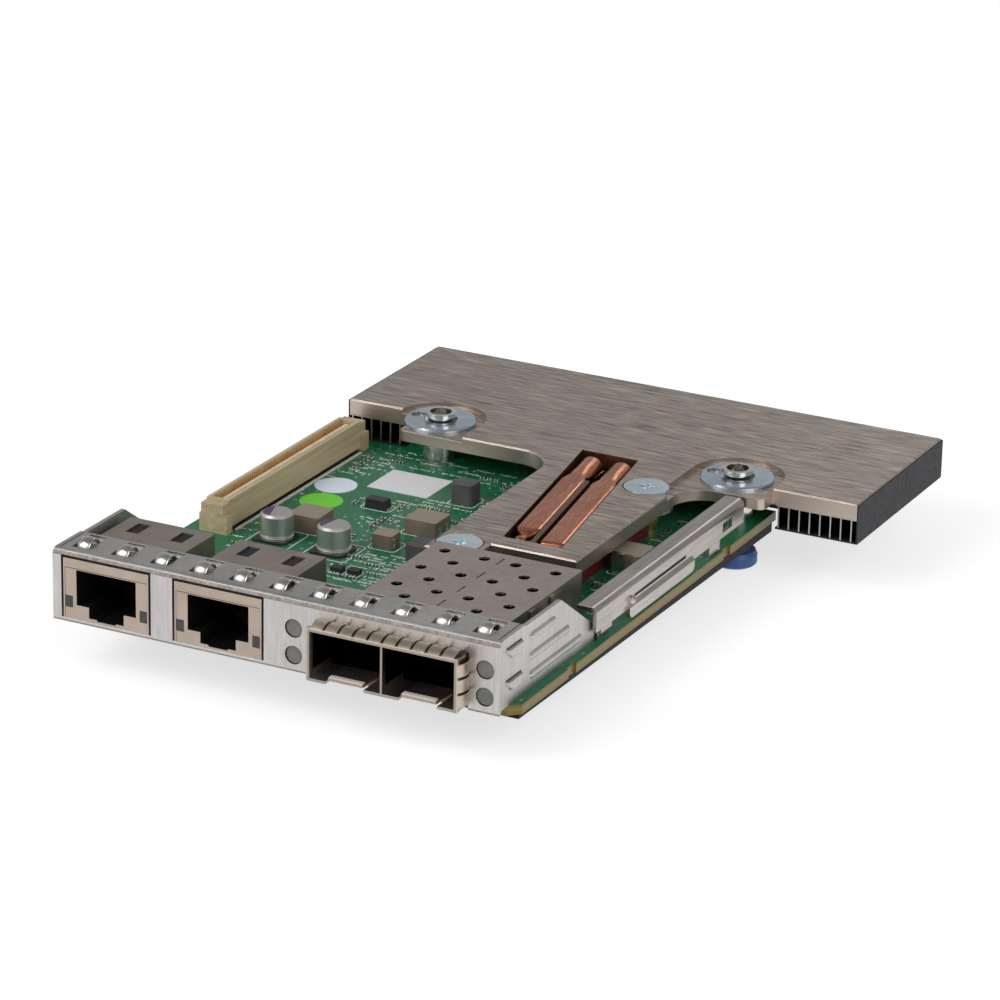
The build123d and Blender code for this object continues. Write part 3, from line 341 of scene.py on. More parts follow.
def plastic(name, dark, light, gloss, grain=2600, depth=GRAIN_DEPTH, cloud=260, shine=0.5,
            top=None):
    """Moulded plastic: fine grain in the bump, a faint cloud in the tone, a top tint if given."""
    f = Finish(name, Specular_IOR_Level=shine)
    fine = f.noise(grain)
    tint = f.mix(f.wander(f.noise(cloud)), dark, light)
    f.feed("Base Color", f.topped(tint, top))
    f.gloss(fine, *gloss)
    return f.bump(fine, depth)


def paper(name, colour, shade):
    """Label paper: flat colour with faint fibres."""
    f = Finish(name, Roughness=0.62)
    fibre = f.noise((5200, 1800, 900), detail=3.0)
    f.feed("Base Color", f.mix(f.ranged(fibre, 0.4, 0.7), colour, shade))
    return f.bump(fibre, FIBRE_DEPTH)


# %% [markdown]
# Some pieces carry two finishes. A jack's front is bare tinned sheet and its throat black, fins are
# bright only along their cut front edges and dark elsewhere with painted shade, and folded sheet is
# darker along the bend, also a painted shade. The coordinates say where a point is and the normal
# which way it looks, so a mask made from both picks the finish, and no piece has to be split.

# %% Pieces with two finishes


def folded_sheet(name, dark, light, gloss, bend_tint, axis, sign, share, grain, hem=None):
    """Plated sheet whose bend, where it looks half up and half out along one axis, is darkened: a
    painted shade, with less metal and more roughness there.

    Where a hem level is given, the sheet below that level, along its bottom edge, is darkened too.
    """
    f = Finish(name)
    fine, wide, sheet = f.mottled(grain, dark, light, spread=0.14, cloud=80)
    up, out = f.facing("Z"), f.facing(axis) * sign
    bend = (up > 0.2) * (up < 0.72) * (out > 0.25)
    if hem is not None:
        bend = bend + (f.place("Z") < hem)
    # Painted shade along the bend; below the hem level the bottom edge is darkened the same way.
    darkened_band = bend * f.ranged(fine, 0.35, 0.6, 0.55 * share, share)
    f.feed("Base Color", f.mix(darkened_band, sheet, bend_tint))
    f.feed("Metallic", 1.0 - darkened_band * 0.85)
    f.feed("Roughness", f.wander(wide, *gloss) + darkened_band * 0.3)
    return f.bump(fine, edge=EDGE_RADIUS)


def faced_body(name, front, reach, face_tint, body_tint, body_metal):
    """A body whose front face, within a reach of its foremost place, has a finish of its own."""
    f = Finish(name, Specular_IOR_Level=0.2)
    fine = f.noise(1500)
    face = (f.place("Y") < front + reach) * (f.facing("Y") < -0.5)
    tone = f.wander(f.noise(200))
    tint = f.mix(tone, face_tint, [0.86 * c for c in face_tint])
    body = f.mix(tone, body_tint, [1.25 * c for c in body_tint])
    f.feed("Base Color", f.mix(face, body, tint))
    f.feed("Metallic", f.ranged(face, 0.0, 1.0, body_metal, 0.6))
    f.gloss(fine, 0.36, 0.5)
    return f.bump(fine, FIBRE_DEPTH)


def boxed_sheet(name, low, high, tab, dark, light, inside_shade, rim):
    """Plated sheet round a box: its inside is darkened with painted shade, and its front rim has a
    tint of its own.

    Latch tabs stay unshaded: they lie in front of a place and under a level, given together as tab.
    """
    f = Finish(name, Metallic=1.0)
    fine, wide, sheet = f.mottled(700, dark, light)
    x, y, z = (f.place(axis) for axis in "XYZ")
    inside = (y > low[1]) * (x > low[0]) * (x < high[0]) * (z > low[2]) * (z < high[2])
    inside = inside * ((z > tab[1]) + (y > tab[0]) > 0.5)
    # Inside the box the sheet is painted near black: painted shade.
    f.feed("Base Color", f.mix(inside, f.mix(f.facing("Y") < -0.7, sheet, rim), inside_shade))
    f.gloss(wide, 0.28, 0.44)
    return f.bump(fine, edge=EDGE_RADIUS)


def tail_solder(left, right):
    """Contact tails: dark with painted shade where they leave the housing, bright solder beyond two
    lines across X.
    """
    f = Finish("tail_solder")
    fine = f.noise(1800)
    tip = (f.place("X") < left) + (f.place("X") > right)
    solder = f.mix(fine, (0.8, 0.79, 0.76), (0.95, 0.94, 0.91))
    # The near-black colour of the tails under the housing is painted shade.
    f.feed("Base Color", f.mix(tip, (0.035, 0.022, 0.012), solder))
    f.gloss(fine, 0.3, 0.42)
    return f.bump(fine, FIBRE_DEPTH)


def edge_lit_fins(fronts, reach):
    """Fins darkened with painted shade, in their metal colour only within a reach of one of their
    front lines.
    """
    f = Finish("fin_sheet", Metallic=1.0)
    fine = f.noise(700)
    y = f.place("Y")
    lines = [(y > front - reach) * (y < front + reach) for front in fronts]
    bare = f.mix(fine, (0.38, 0.345, 0.32), (0.54, 0.5, 0.465))
    # Away from the front lines the fins are painted near black: painted shade between the fins.
    black = f.mix(fine, (0.012, 0.011, 0.012), (0.026, 0.024, 0.026))
    f.feed("Base Color", f.mix(sum(lines[1:], lines[0]), black, bare))
    f.gloss(fine, 0.34, 0.48)
    return f.bump(fine)


# %% [markdown]
# The board is glass cloth under green lacquer. Copper tracks show through as a lighter green, in
# bundles along X or Y, and plated holes dot the space between. Each bundle is a wave, and a coarse
# noise says where it runs. The cut edge shows the yellow cloth, with darker layers between.

# %% Circuit board
TRACK_WAVES, LAYER_WAVES, HOLE_CELLS = 320.0, 260.0, 430.0


def board_lacquer():
    """Green lacquer over tracks and holes on the flat faces, layered yellow cloth on the edges."""
    f = Finish("board_lacquer", Specular_IOR_Level=0.5)
    cloud = f.noise(160, detail=3.0)
    region = f.noise(190, detail=0.0)
    along_x, along_y = f.wave("Y", TRACK_WAVES), f.wave("X", TRACK_WAVES)
    tracks = (along_x > 0.55) * (region > 0.54) + (along_y > 0.55) * (region < 0.42)
    inputs = {"Vector": f.spot((1, 1, 0)), "Scale": HOLE_CELLS}
    holes = f.node("ShaderNodeTexVoronoi", {"feature": "F1"}, inputs)
    ring = (holes < 0.17) * (holes > 0.07)
    lacquer = f.mix(cloud, (0.006, 0.126, 0.05), (0.012, 0.18, 0.073))
    lacquer = f.mix(tracks * 0.45, lacquer, (0.02, 0.215, 0.088))
    lacquer = f.mix(ring * 0.75, lacquer, (0.3, 0.46, 0.3))
    layer = f.wave("Z", LAYER_WAVES, bend=0.8)
    cloth = f.mix(layer * 0.5 + cloud * 0.5, (0.165, 0.108, 0.014), (0.31, 0.222, 0.036))
    facing = f.facing("Z")
    flat = f.ranged(facing * facing, 0.4, 0.6)
    f.feed("Base Color", f.mix(flat, cloth, lacquer))
    f.gloss(cloud, 0.3, 0.42)
    return f.bump(tracks + ring, 0.03 * MM)


print("finishes defined")

# %% [markdown]
# Each CAD piece gets the finish that its slot in the record names, and a few get one of their own.
# Nothing else about the piece changes.

# %% Finishes for the CAD pieces
FIN_FRONTS, FIN_REACH, HEM = (103.2, 107.8, 113.2), 0.3 * MM, 0.3 * MM
FACE_REACH, TAIL_TIP = 0.4 * MM, 0.6 * MM
CAGE_SKIN, CAGE_TAB = MM * np.array([0.5, 1.2, 0.4]), at(0, 4.0, 1.75)[1:]
CAGE_DARK, CAGE_LIGHT = (0.43, 0.365, 0.33), (0.55, 0.475, 0.435)
JACK_FACE, JACK_BLACK, JACK_TIN = (0.52, 0.425, 0.355), (0.006, 0.006, 0.006), (0.345, 0.295, 0.26)
SHEETS = {
    "tin_cage": (CAGE_DARK, CAGE_LIGHT, (0.28, 0.44)),
    "spring_strip": ((0.5, 0.485, 0.46), (0.64, 0.625, 0.6), (0.2, 0.3)),
    "contact_gold": ((0.62, 0.4, 0.13), (0.86, 0.6, 0.25), (0.18, 0.3)),
    "zinc": ((0.42, 0.5, 0.58), (0.6, 0.7, 0.78), (0.18, 0.32)),
    "nickel": ((0.58, 0.55, 0.51), (0.78, 0.76, 0.73), (0.12, 0.24)),
    "brass_post": ((0.6, 0.45, 0.18), (0.78, 0.62, 0.3), (0.22, 0.34)),
    "solder_lead": ((0.6, 0.6, 0.59), (0.82, 0.82, 0.81), (0.18, 0.32)),
    "spring_wire": ((0.4, 0.4, 0.4), (0.58, 0.58, 0.58), (0.25, 0.4)),
}
PLASTICS = {
    "light_pipe": ((0.15, 0.15, 0.14), (0.225, 0.225, 0.21), (0.25, 0.36)),
    "chip": ((0.02, 0.02, 0.022), (0.034, 0.034, 0.036), (0.45, 0.6)),
    "pad": ((0.4, 0.43, 0.47), (0.5, 0.53, 0.57), (0.7, 0.85)),
    "red_frame": ((0.12, 0.008, 0.012), (0.19, 0.014, 0.018), (0.35, 0.5)),
    "black_plastic": ((0.01, 0.01, 0.01), (0.022, 0.022, 0.023), (0.36, 0.52)),
    "ceramic": ((0.085, 0.064, 0.044), (0.165, 0.13, 0.095), (0.4, 0.55)),
    "lamp": ((0.03, 0.03, 0.032), (0.06, 0.06, 0.064), (0.25, 0.36)),
    "blue_knob": ((0.048, 0.125, 0.34), (0.07, 0.165, 0.43), (0.36, 0.5)),
}
finishes = {slot: sheet_metal(slot, *look) for slot, look in SHEETS.items()}
finishes |= {slot: plastic(slot, *look) for slot, look in PLASTICS.items()}
finishes |= {
    "board": board_lacquer(),
    "film": plastic("black_film", (0.004, 0.004, 0.0045), (0.008, 0.008, 0.009), (0.5, 0.62),
                    grain=900, shine=0.2),
    "plated_sheet": folded_sheet(
        "plated_sheet", (0.45, 0.43, 0.425), (0.6, 0.58, 0.572), (0.36, 0.5), (0.2, 0.15, 0.11),
        "Y", -1.0, 0.8, (1600, 1600, 160), hem=face_low.z + HEM),
    "tan_plastic": plastic("tan_plastic", (0.43, 0.345, 0.21), (0.6, 0.485, 0.3), (0.4, 0.54),
                           cloud=(500, 45, 900)),
    "brushed_plate": brushed_plate(),
    "fin_sheet": edge_lit_fins([at(0, y, 0)[1] for y in FIN_FRONTS], FIN_REACH),
    "copper": copper(),
    "rail_sheet": folded_sheet(
        "rail_sheet", (0.37, 0.34, 0.32), (0.56, 0.52, 0.495), (0.22, 0.36), (0.1, 0.095, 0.09),
        "X", 1.0, 0.3, (1800, 110, 1800)),
    "can": sheet_metal("can_shell", (0.52, 0.51, 0.49), (0.66, 0.65, 0.63), (0.4, 0.5),
                       grain=(900, 900, 120), top=(0.6, 0.575, 0.565)),
    # The ferrite's lighter top tint is a painted sheen, where its top looks up at the sky.
    "ferrite": plastic("ferrite", (0.15, 0.118, 0.082), (0.225, 0.18, 0.135), (0.42, 0.55),
                       grain=3600, depth=0.03 * MM, top=(0.285, 0.238, 0.188)),
    "paper_white": paper("paper_white", (0.8, 0.805, 0.825), (0.72, 0.725, 0.75)),
    "paper_green": paper("paper_green", (0.185, 0.69, 0.05), (0.15, 0.59, 0.038)),
}
grey_ferrite = plastic("grey_ferrite", (0.06, 0.06, 0.062), (0.105, 0.102, 0.098), (0.5, 0.66),
                       grain=3600)
tail_low, tail_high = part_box("mezz_contacts")
cage_low, cage_high = (np.array(c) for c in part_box("sfp_cage"))
own_finishes = {
    "fin_wrap": plastic("wrap_film", (0.012, 0.011, 0.015), (0.022, 0.02, 0.026), (0.5, 0.62),
                        grain=900, shine=0.3),
    "sfp_gasket": sheet_metal("gasket_strip", (0.46, 0.39, 0.31), (0.62, 0.54, 0.445),
                              (0.34, 0.46)),
    "plate_screws": sheet_metal("screw_zinc", (0.6, 0.72, 0.8), (0.78, 0.9, 0.97), (0.22, 0.34)),
    "white_sticker": paper("sticker_paper", (0.8, 0.87, 0.97), (0.66, 0.76, 0.93)),
    "mezz_contacts": tail_solder(tail_low.x + TAIL_TIP, tail_high.x - TAIL_TIP),
    # The near-black inside colour of the cage is painted shade.
    "sfp_cage": boxed_sheet("cage_sheet", cage_low + CAGE_SKIN, cage_high - CAGE_SKIN, CAGE_TAB,
                            CAGE_DARK, CAGE_LIGHT, (0.018, 0.015, 0.013), (0.34, 0.29, 0.255)),
    "tall_inductor": grey_ferrite,
    "near_inductor": grey_ferrite,
}
for side in ("left", "right"):
    for node, name, body, metal in (("jack_housing_", "jack_body_", JACK_BLACK, 0.0),
                                    ("jack_shield_", "jack_shield_", JACK_TIN, 1.0)):
        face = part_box(node + side)[0].y
        own_finishes[node + side] = faced_body(
            name + side, face, FACE_REACH, JACK_FACE, body, metal)
for entry in frame["record"]["subparts"]:
    piece = nodes[entry["node"]]
    finish = own_finishes.get(entry["node"], finishes[entry["material_slot"]])
    piece.data.materials.clear()
    piece.data.materials.append(finish.material)
print("finished", len(nodes), "CAD pieces with", len(finishes) + len(own_finishes), "finishes")

# %% [markdown]
# The small pieces on a board come by the hundred: chips with tinned ends, contacts, pads. Each kind
# is one mesh, because a modifier per piece would be slow. A block is a ring of eight corners, a
# rectangle with its corners cut, carried up through three levels, and whole arrays make all the
# blocks of a kind at once.

# %% Many small blocks in one mesh
RING_SIDE = np.array([[1, 1, 1, -1, -1, -1, -1, 1], [-1, 1, 1, 1, 1, -1, -1, -1]], float)
RING_CUT = np.array([[0, 0, 1, 1, 0, 0, 1, 1], [1, 1, 0, 0, 1, 1, 0, 0]], float)


def add_piece(name, points, faces, slot, finish=None, body="card", smooth=False):
    """Put points in board millimetres and faces into a mesh that rides on a body."""
    mesh = bpy.data.meshes.new(name)
    mesh.from_pydata((DATUM + MM * points).reshape(-1, 3).tolist(), [], faces)
    mesh.materials.append((finish or finishes[slot]).material)
    if smooth:
        mesh.polygons.foreach_set("use_smooth", np.ones(len(mesh.polygons), bool))
    piece = bpy.data.objects.new(name, mesh)
    bpy.context.scene.collection.objects.link(piece)
    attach(piece, body)
    print(name, len(mesh.polygons), "faces")
    return piece


def ring_faces(count, levels, around, closed=False):
    """Quads from ring to ring, for many stacks: capped at both ends, or closed in a loop."""
    base = (np.arange(count) * levels * around)[:, None, None]
    level = np.arange(levels if closed else levels - 1)[:, None]
    here, ahead = base + level * around, base + (level + 1) % levels * around
    step, turn = np.arange(around), (np.arange(around) + 1) % around
    quads = np.stack([here + step, here + turn, ahead + turn, ahead + step], axis=-1)
    caps = np.concatenate([base[:, 0] + step[::-1], base[:, 0] + (levels - 1) * around + step])
    return quads.reshape(-1, 4).tolist() + ([] if closed else caps.tolist())


def blocks(name, low, high, slot, finish=None, cut=0.18):
    """Chamfered blocks between corner arrays in board millimetres.

    Each is a cut-cornered rectangle (first parameter, eight corners) carried from foot to shoulder
    to top (second parameter); the top ring is drawn in by the same cut.
    """
    middle, half = (low + high) / 2, (high - low) / 2
    trim = cut * half.min(axis=1)
    inset = RING_CUT[None, None] + np.array([0.0, 0.0, 1.0])[None, :, None, None]
    flat = RING_SIDE * (half[:, None, :2, None] - inset * trim[:, None, None, None])
    flat = np.moveaxis(flat + middle[:, None, :2, None], 2, 3)
    levels = np.stack([low[:, 2], high[:, 2] - trim, high[:, 2]], axis=1)
    levels = np.broadcast_to(levels[:, :, None, None], (*flat.shape[:3], 1))
    points = np.concatenate([flat, levels], axis=3)
    return add_piece(name, points, ring_faces(len(low), 3, 8), slot, finish)


def spans(*axes):
    """Low and high corners of boxes, from a low and a high value or array on each axis."""
    return [np.atleast_2d(np.stack(np.broadcast_arrays(*side), axis=-1)) for side in zip(*axes)]


def boxes_round(centres, size):
    """Corners of boxes of one size that stand on the board, round the given centres."""
    x, y = np.reshape(centres, (-1, 2)).T
    wide, deep = size[0] / 2, size[1] / 2
    return spans((x - wide, x + wide), (y - deep, y + deep), (0.0, size[2]))


def joined(*pairs):
    """Several sets of low and high corners as one."""
    return [np.concatenate(side) for side in zip(*pairs)]


print("block helpers ready")

# %% [markdown]
# A chip capacitor or resistor is a ceramic brick with tinned ends. The CAD rows hold the larger
# bricks; their ends are added here, a hair larger, as solder is. Smaller parts sit between them in
# short rows, each with a start, a step and a count.

# %% Chip parts and their tinned ends
CHIP, CHIP_END, END_LIP = np.array((1.1, 0.6, 0.55)), 0.26, 0.02
CHIP_ROWS = np.array([
    (10.5, 92, 0, 1.5, 5), (31.5, 79.5, 1.9, 0, 4), (28.5, 66, 0, 1.5, 4), (42.5, 80.5, 0, 1.6, 5),
    (12, 30, 2.4, 0, 6), (31, 31, 2.4, 0, 5), (44.8, 28, 0, 2.2, 5), (84.6, 50, 0, 2, 6),
    (81, 79.5, 1.7, 0, 3),
], float)
SMALL, SMALL_END = np.array((0.95, 0.5, 0.38)), 0.3
SMALL_ROWS = np.array([
    (19.6, 75.3, 0, 0.9, 2), (28.3, 77.4, 0, 1, 2), (31.5, 50.9, 1.5, 0, 3),
    (36.9, 48.9, 1.5, 0, 3), (35.4, 41.5, 1.5, 0, 3), (39.4, 44.9, 1.4, 0, 2),
    (31.4, 41.6, 0, 1.1, 2), (43.3, 64.8, 0, 1.1, 3), (40, 75.8, 1.5, 0, 2), (29.9, 70.2, 0, 1, 2),
    (15.2, 99.4, 1.5, 0, 2), (34.4, 99.8, 1.5, 0, 3), (40.6, 96.2, 0, 1.1, 3),
    (45.2, 92.2, 0, 1.2, 4), (77.4, 60.2, 1.5, 0, 4), (78, 63, 1.5, 0, 3), (85.4, 64.8, 0, 1.1, 5),
    (78.2, 76.6, 1.5, 0, 4), (77.8, 88.6, 0, 1.1, 4), (80, 90.4, 0, 1.1, 4), (78, 96.2, 1.5, 0, 3),
    (82.2, 86.4, 0, 1.1, 5), (27.6, 59.2, 0, 1.2, 2), (10.2, 46.2, 1.5, 0, 3),
], float)


def row_centres(rows):
    """Centres of evenly stepped rows: start plus step times a whole number, for every row."""
    counts = rows[:, 4].astype(int)
    number = np.concatenate([np.arange(n) for n in counts])
    start, step = (np.repeat(rows[:, k:k + 2], counts, axis=0) for k in (0, 2))
    return start + number[:, None] * step


def end_caps(centres, size, share):
    """Corners of both ends of each chip: the outer share of its length, a lip larger all round."""
    end = share * size[0]
    sides = np.array([-1.0, 1.0])
    reach = size[0] / 2 + END_LIP - end / 2
    middle = centres[:, None] + np.stack([sides * reach, sides * 0], axis=1)
    return boxes_round(middle, (end, size[1] + 2 * END_LIP, size[2] + END_LIP))


chips, smalls = row_centres(CHIP_ROWS), row_centres(SMALL_ROWS)
blocks("chip_ends", *end_caps(chips, CHIP, CHIP_END), "solder_lead")
glaze = plastic("resistor_glaze", (0.016, 0.016, 0.018), (0.05, 0.045, 0.04), (0.25, 0.4))
dark = np.arange(len(smalls)) % 5 < 2
blocks("small_resistors", *boxes_round(smalls[dark], SMALL), "black_plastic", glaze)
blocks("small_capacitors", *boxes_round(smalls[~dark], SMALL), "ceramic")
blocks("small_part_ends", *end_caps(smalls, SMALL, SMALL_END), "solder_lead")
print(len(chips), "chips with ends,", len(smalls), "smaller parts")

# %% [markdown]
# White print marks where each part goes: a frame round a coil, cut corners for a can, and short
# strokes beside the parts. A stroke is a rectangle carried from one point to another, a few
# hundredths of a millimetre high. The strokes are plain ticks, so that nothing can be read.

# %% Print on the board
PRINT_WIDTH, PRINT_HIGH, FRAME_CUT = 0.2, 0.025, 0.6
TICK_PITCH, TICK_SHORTEST, TICK_SPREAD, TICK_WOBBLE = 0.46, 0.4, 0.5, 0.25
UPRIGHT_SHARE, KEPT_SHARE, TICK_SEED = 0.6, 0.82, 5
board_print = paper("board_print", (0.86, 0.9, 0.86), (0.74, 0.82, 0.76))


def strokes(name, start, end):
    """Flat bars: a rectangle carried from a start to an end, across that direction."""
    along = end - start
    along /= np.linalg.norm(along, axis=1)[:, None]
    across = np.column_stack([-along[:, 1], along[:, 0]]) * PRINT_WIDTH / 2
    corner_side = np.array([-1.0, 1.0, 1.0, -1.0])
    corner_level = np.array([0.0, 0.0, 1.0, 1.0]) * PRINT_HIGH
    ends = np.stack([start, end], axis=1)[:, :, None] + corner_side[:, None] * across[:, None, None]
    level = np.broadcast_to(corner_level[:, None], (*ends.shape[:3], 1))
    points = np.concatenate([ends, level], axis=3)[:, :, ::-1]
    return add_piece(name, points, ring_faces(len(start), 2, 4), "paper_white", board_print)


def frame_lines(boxes, cut):
    """The eight sides of rectangles with cut corners, as start and end points."""
    middle = (boxes[:, :2] + boxes[:, 2:]) / 2
    half = (boxes[:, 2:] - boxes[:, :2]) / 2
    corners = middle[..., None] + RING_SIDE * (half[..., None] - RING_CUT * cut)
    corners = np.moveaxis(corners, 1, 2)
    return corners.reshape(-1, 2), np.roll(corners, -1, axis=1).reshape(-1, 2)


def tick_rows(rows, seed):
    """Ticks in rows: at each step an upright or level stroke, or none, by a seeded chance."""
    steps = np.broadcast_to((TICK_PITCH, 0.0), (len(rows), 2))
    centre = row_centres(np.column_stack([rows[:, :2], steps, rows[:, 2]]))
    chance = np.random.default_rng(seed).random((len(centre), 3))
    length = TICK_SHORTEST + TICK_SPREAD * chance[:, 1:2]
    reach = np.where(chance[:, :1] < UPRIGHT_SHARE, [[0.0, 0.5]], [[0.5, 0.0]]) * length
    centre[:, 1] += TICK_WOBBLE * (chance[:, 2] - 0.5)
    kept = chance[:, 2] < KEPT_SHARE
    return (centre - reach)[kept], (centre + reach)[kept]


FRAMES = np.array([
    (11.3, 47.8, 20.3, 56.8), (23.7, 47.4, 32.7, 56.4), (14.6, 56.9, 22.2, 64.3),
    (21.2, 74.2, 27.5, 77.8), (32.5, 56.5, 38.3, 61.7), (34.2, 66.1, 42.2, 73.5),
    (34.6, 84.1, 40.2, 89.7), (76.6, 67.1, 83.9, 74.9), (32, 42.1, 35.2, 45.1),
    (35.6, 42.3, 38.4, 45.3),
], float)
TICK_ROWS = np.array([
    (7.8, 86.2, 5), (8.2, 89.6, 8), (12, 90.8, 6), (8.6, 95.2, 7), (12.2, 94.2, 9), (11.6, 97.6, 8),
    (8, 99.6, 7), (12, 99.6, 5), (11.4, 103, 9), (14.8, 105.4, 6), (20, 101.6, 10),
    (19.4, 98.2, 12), (26.4, 98.4, 12), (25.4, 103.4, 10), (31.4, 103.2, 9), (33.4, 97.6, 9),
    (38.6, 99.4, 8), (7.6, 75.2, 4), (18.6, 78.8, 6), (24.8, 79.4, 7), (28, 80.6, 6),
    (30.6, 82.8, 17), (30.6, 81.2, 9), (38, 82.6, 7), (29, 73.6, 8), (30.4, 71.4, 6),
    (41.2, 78.4, 6), (26.2, 68.2, 5), (24, 70, 6), (7.6, 66.8, 6), (7.4, 61.4, 6), (7.2, 53.6, 6),
    (7.6, 49.6, 6), (9.6, 44.6, 9), (22.8, 58.6, 8), (23.4, 61.4, 7), (30, 54.3, 6), (38.6, 55, 8),
    (33.6, 52.2, 11), (32.4, 49.6, 9), (38.6, 50.6, 9), (37.6, 47.8, 10), (31, 45.8, 4),
    (39.2, 45.9, 9), (39.4, 43.4, 9), (32.6, 40.4, 12), (38.6, 40.8, 9), (39.8, 42, 7),
    (9.2, 91.6, 6), (9.6, 93.4, 7), (13.4, 96.4, 8), (16, 102.8, 9), (21.4, 104.2, 11),
    (28.8, 100.8, 10), (36.2, 103.4, 9), (41.6, 101.4, 8), (42.4, 97.4, 7), (30.8, 84.2, 12),
    (26, 80.8, 8), (41, 74.2, 7), (30.2, 64.8, 8), (31, 63.2, 7), (34.2, 53.6, 10), (36, 51.2, 9),
    (40.2, 52, 7), (34, 47, 9), (40.4, 48.8, 7), (33.4, 46, 8), (34.6, 39.9, 9), (40.8, 39.6, 6),
    (7, 57.2, 5), (12.4, 45.2, 9), (77, 62, 9), (77.6, 58.4, 11), (82.6, 63.6, 6), (78, 78.2, 9),
    (82.4, 77.6, 8), (76.8, 86.6, 7), (79.2, 94.8, 8), (77.4, 98, 9), (84, 92.4, 5), (81.6, 83, 7),
    (83, 56.4, 6), (82.4, 47.8, 7),
], float)
strokes("print_frames", *frame_lines(FRAMES, FRAME_CUT))
strokes("print_ticks", *tick_rows(TICK_ROWS, TICK_SEED))

# %% [markdown]
# Bare solder pads and plated holes catch the light as small bright spots. A pad is a low block, and
# a plated hole is a rectangle carried round a circle.

# %% Pads and plated holes
PAD, PAD_CLEAR, PAD_SEED = (0.5, 0.42, 0.05), 0.4, 11
HOLE_RADIUS, HOLE_WIDTH, HOLE_HIGH, HOLE_ROUND = 0.27, 0.16, 0.03, 12
PAD_FIELDS = np.array([
    (7.6, 86, 13.5, 104), (14, 97, 33, 105), (31, 40, 42.5, 55), (27, 64, 34, 83.5),
    (39.5, 76, 48, 104), (76.8, 56, 88, 66.5), (76.8, 76, 85, 98), (22.5, 57.5, 31.5, 73.5),
], float)
PAD_COUNTS = np.array([16, 22, 34, 22, 28, 22, 26, 20])
PARTS_ON_BOARD = (
    "large_inductor", "tall_inductor", "flat_inductor", "small_inductor", "near_inductor",
    "side_inductor", "diode_body", "board_label", "white_sticker", "green_sticker",
)


def strewn(fields, counts, seed):
    """Places strewn evenly over rectangles by a seeded chance."""
    chance = np.random.default_rng(seed).random((counts.sum(), 2))
    low, high = (np.repeat(fields[:, k:k + 2], counts, axis=0) for k in (0, 2))
    return low + chance * (high - low)


def clear_of(points, boxes, margin):
    """The points that lie outside every box by a margin."""
    over = (points[:, None] > boxes[:, :2] - margin).all(2)
    under = (points[:, None] < boxes[:, 2:] + margin).all(2)
    return points[~(over & under).any(1)]


def hole_rings(name, centres):
    """Flat rings: a rectangle of a width and a height carried round a circle of a radius."""
    turn = 2 * np.pi * np.arange(HOLE_ROUND) / HOLE_ROUND
    reach = HOLE_RADIUS + HOLE_WIDTH * np.array([-0.5, -0.5, 0.5, 0.5])
    level = HOLE_HIGH * np.array([0.0, 1.0, 1.0, 0.0])
    x = centres[:, None, None, 0] + np.cos(turn)[:, None] * reach
    y = centres[:, None, None, 1] + np.sin(turn)[:, None] * reach
    points = np.stack([x, y, np.broadcast_to(level, x.shape)], axis=3)
    faces = ring_faces(len(centres), HOLE_ROUND, 4, closed=True)
    return add_piece(name, points, faces, "solder_lead")


taken = [np.array([np.concatenate([corner[:2] for corner in in_mm(n)]) for n in PARTS_ON_BOARD])]
for centres, size in ((chips, CHIP), (smalls, SMALL)):
    taken.append(np.column_stack([centres - size[:2] / 2, centres + size[:2] / 2]))
spots = clear_of(strewn(PAD_FIELDS, PAD_COUNTS, PAD_SEED), np.concatenate(taken), PAD_CLEAR)
blocks("solder_pads", *boxes_round(spots[::2], PAD), "solder_lead")
hole_rings("plated_holes", spots[1::2])

# %% [markdown]
# The tall connector has a row of springs on each side of its blade. From above one sees the bent
# tops of the far row, bright in the brown slot, and the blade's toothed edge. Each is a block in a
# row of the connector's own pitch.

# %% Contacts in the tall connector
MEZZ_PITCH, MEZZ_COUNT = 0.8, 61
SLOT_LEFT, SLOT_FLOOR, BLADE_RIGHT, BLADE_LEFT, BLADE_TOP = 2.25, 1.2, 4.3, 3.4, 5.0
FAR_THICK, FAR_TOP, FAR_WIDTH = 0.16, 5.85, 0.56
LEAF_THICK, LEAF_TOP, LEAF_WIDTH = 0.14, BLADE_TOP - 0.3, 0.42
TOOTH_HIGH, TOOTH_WIDTH = 0.42, 0.46
mezz_low, mezz_high = in_mm("mezz_housing")
mezz_number = np.arange(MEZZ_COUNT) - (MEZZ_COUNT - 1) / 2
mezz_y = (mezz_low[1] + mezz_high[1]) / 2 + MEZZ_PITCH * mezz_number


def contact_row(x, z, width):
    """Corners of one block per pitch, all with the same section."""
    return spans(x, (mezz_y - width / 2, mezz_y + width / 2), z)


slot_contacts = joined(
    contact_row((SLOT_LEFT, SLOT_LEFT + FAR_THICK), (SLOT_FLOOR, FAR_TOP), FAR_WIDTH),
    contact_row((BLADE_RIGHT, BLADE_RIGHT + LEAF_THICK), (SLOT_FLOOR, LEAF_TOP), LEAF_WIDTH),
    contact_row((BLADE_LEFT - LEAF_THICK, BLADE_LEFT), (SLOT_FLOOR, LEAF_TOP), LEAF_WIDTH),
)
bronze = plastic("slot_bronze", (0.56, 0.335, 0.135), (0.72, 0.45, 0.2), (0.3, 0.42))
blocks("slot_contacts", *slot_contacts, "contact_gold", bronze)
teeth = contact_row((BLADE_LEFT, BLADE_RIGHT), (BLADE_TOP, BLADE_TOP + TOOTH_HIGH), TOOTH_WIDTH)
# The teeth take a paler copy of the housing's tan: a painted highlight on the blade's top edge.
lit_pale_tan = plastic("lit_pale_tan", (0.74, 0.6, 0.42), (0.86, 0.73, 0.54), (0.4, 0.54))
blocks("blade_teeth", *teeth, "tan_plastic", lit_pale_tan)

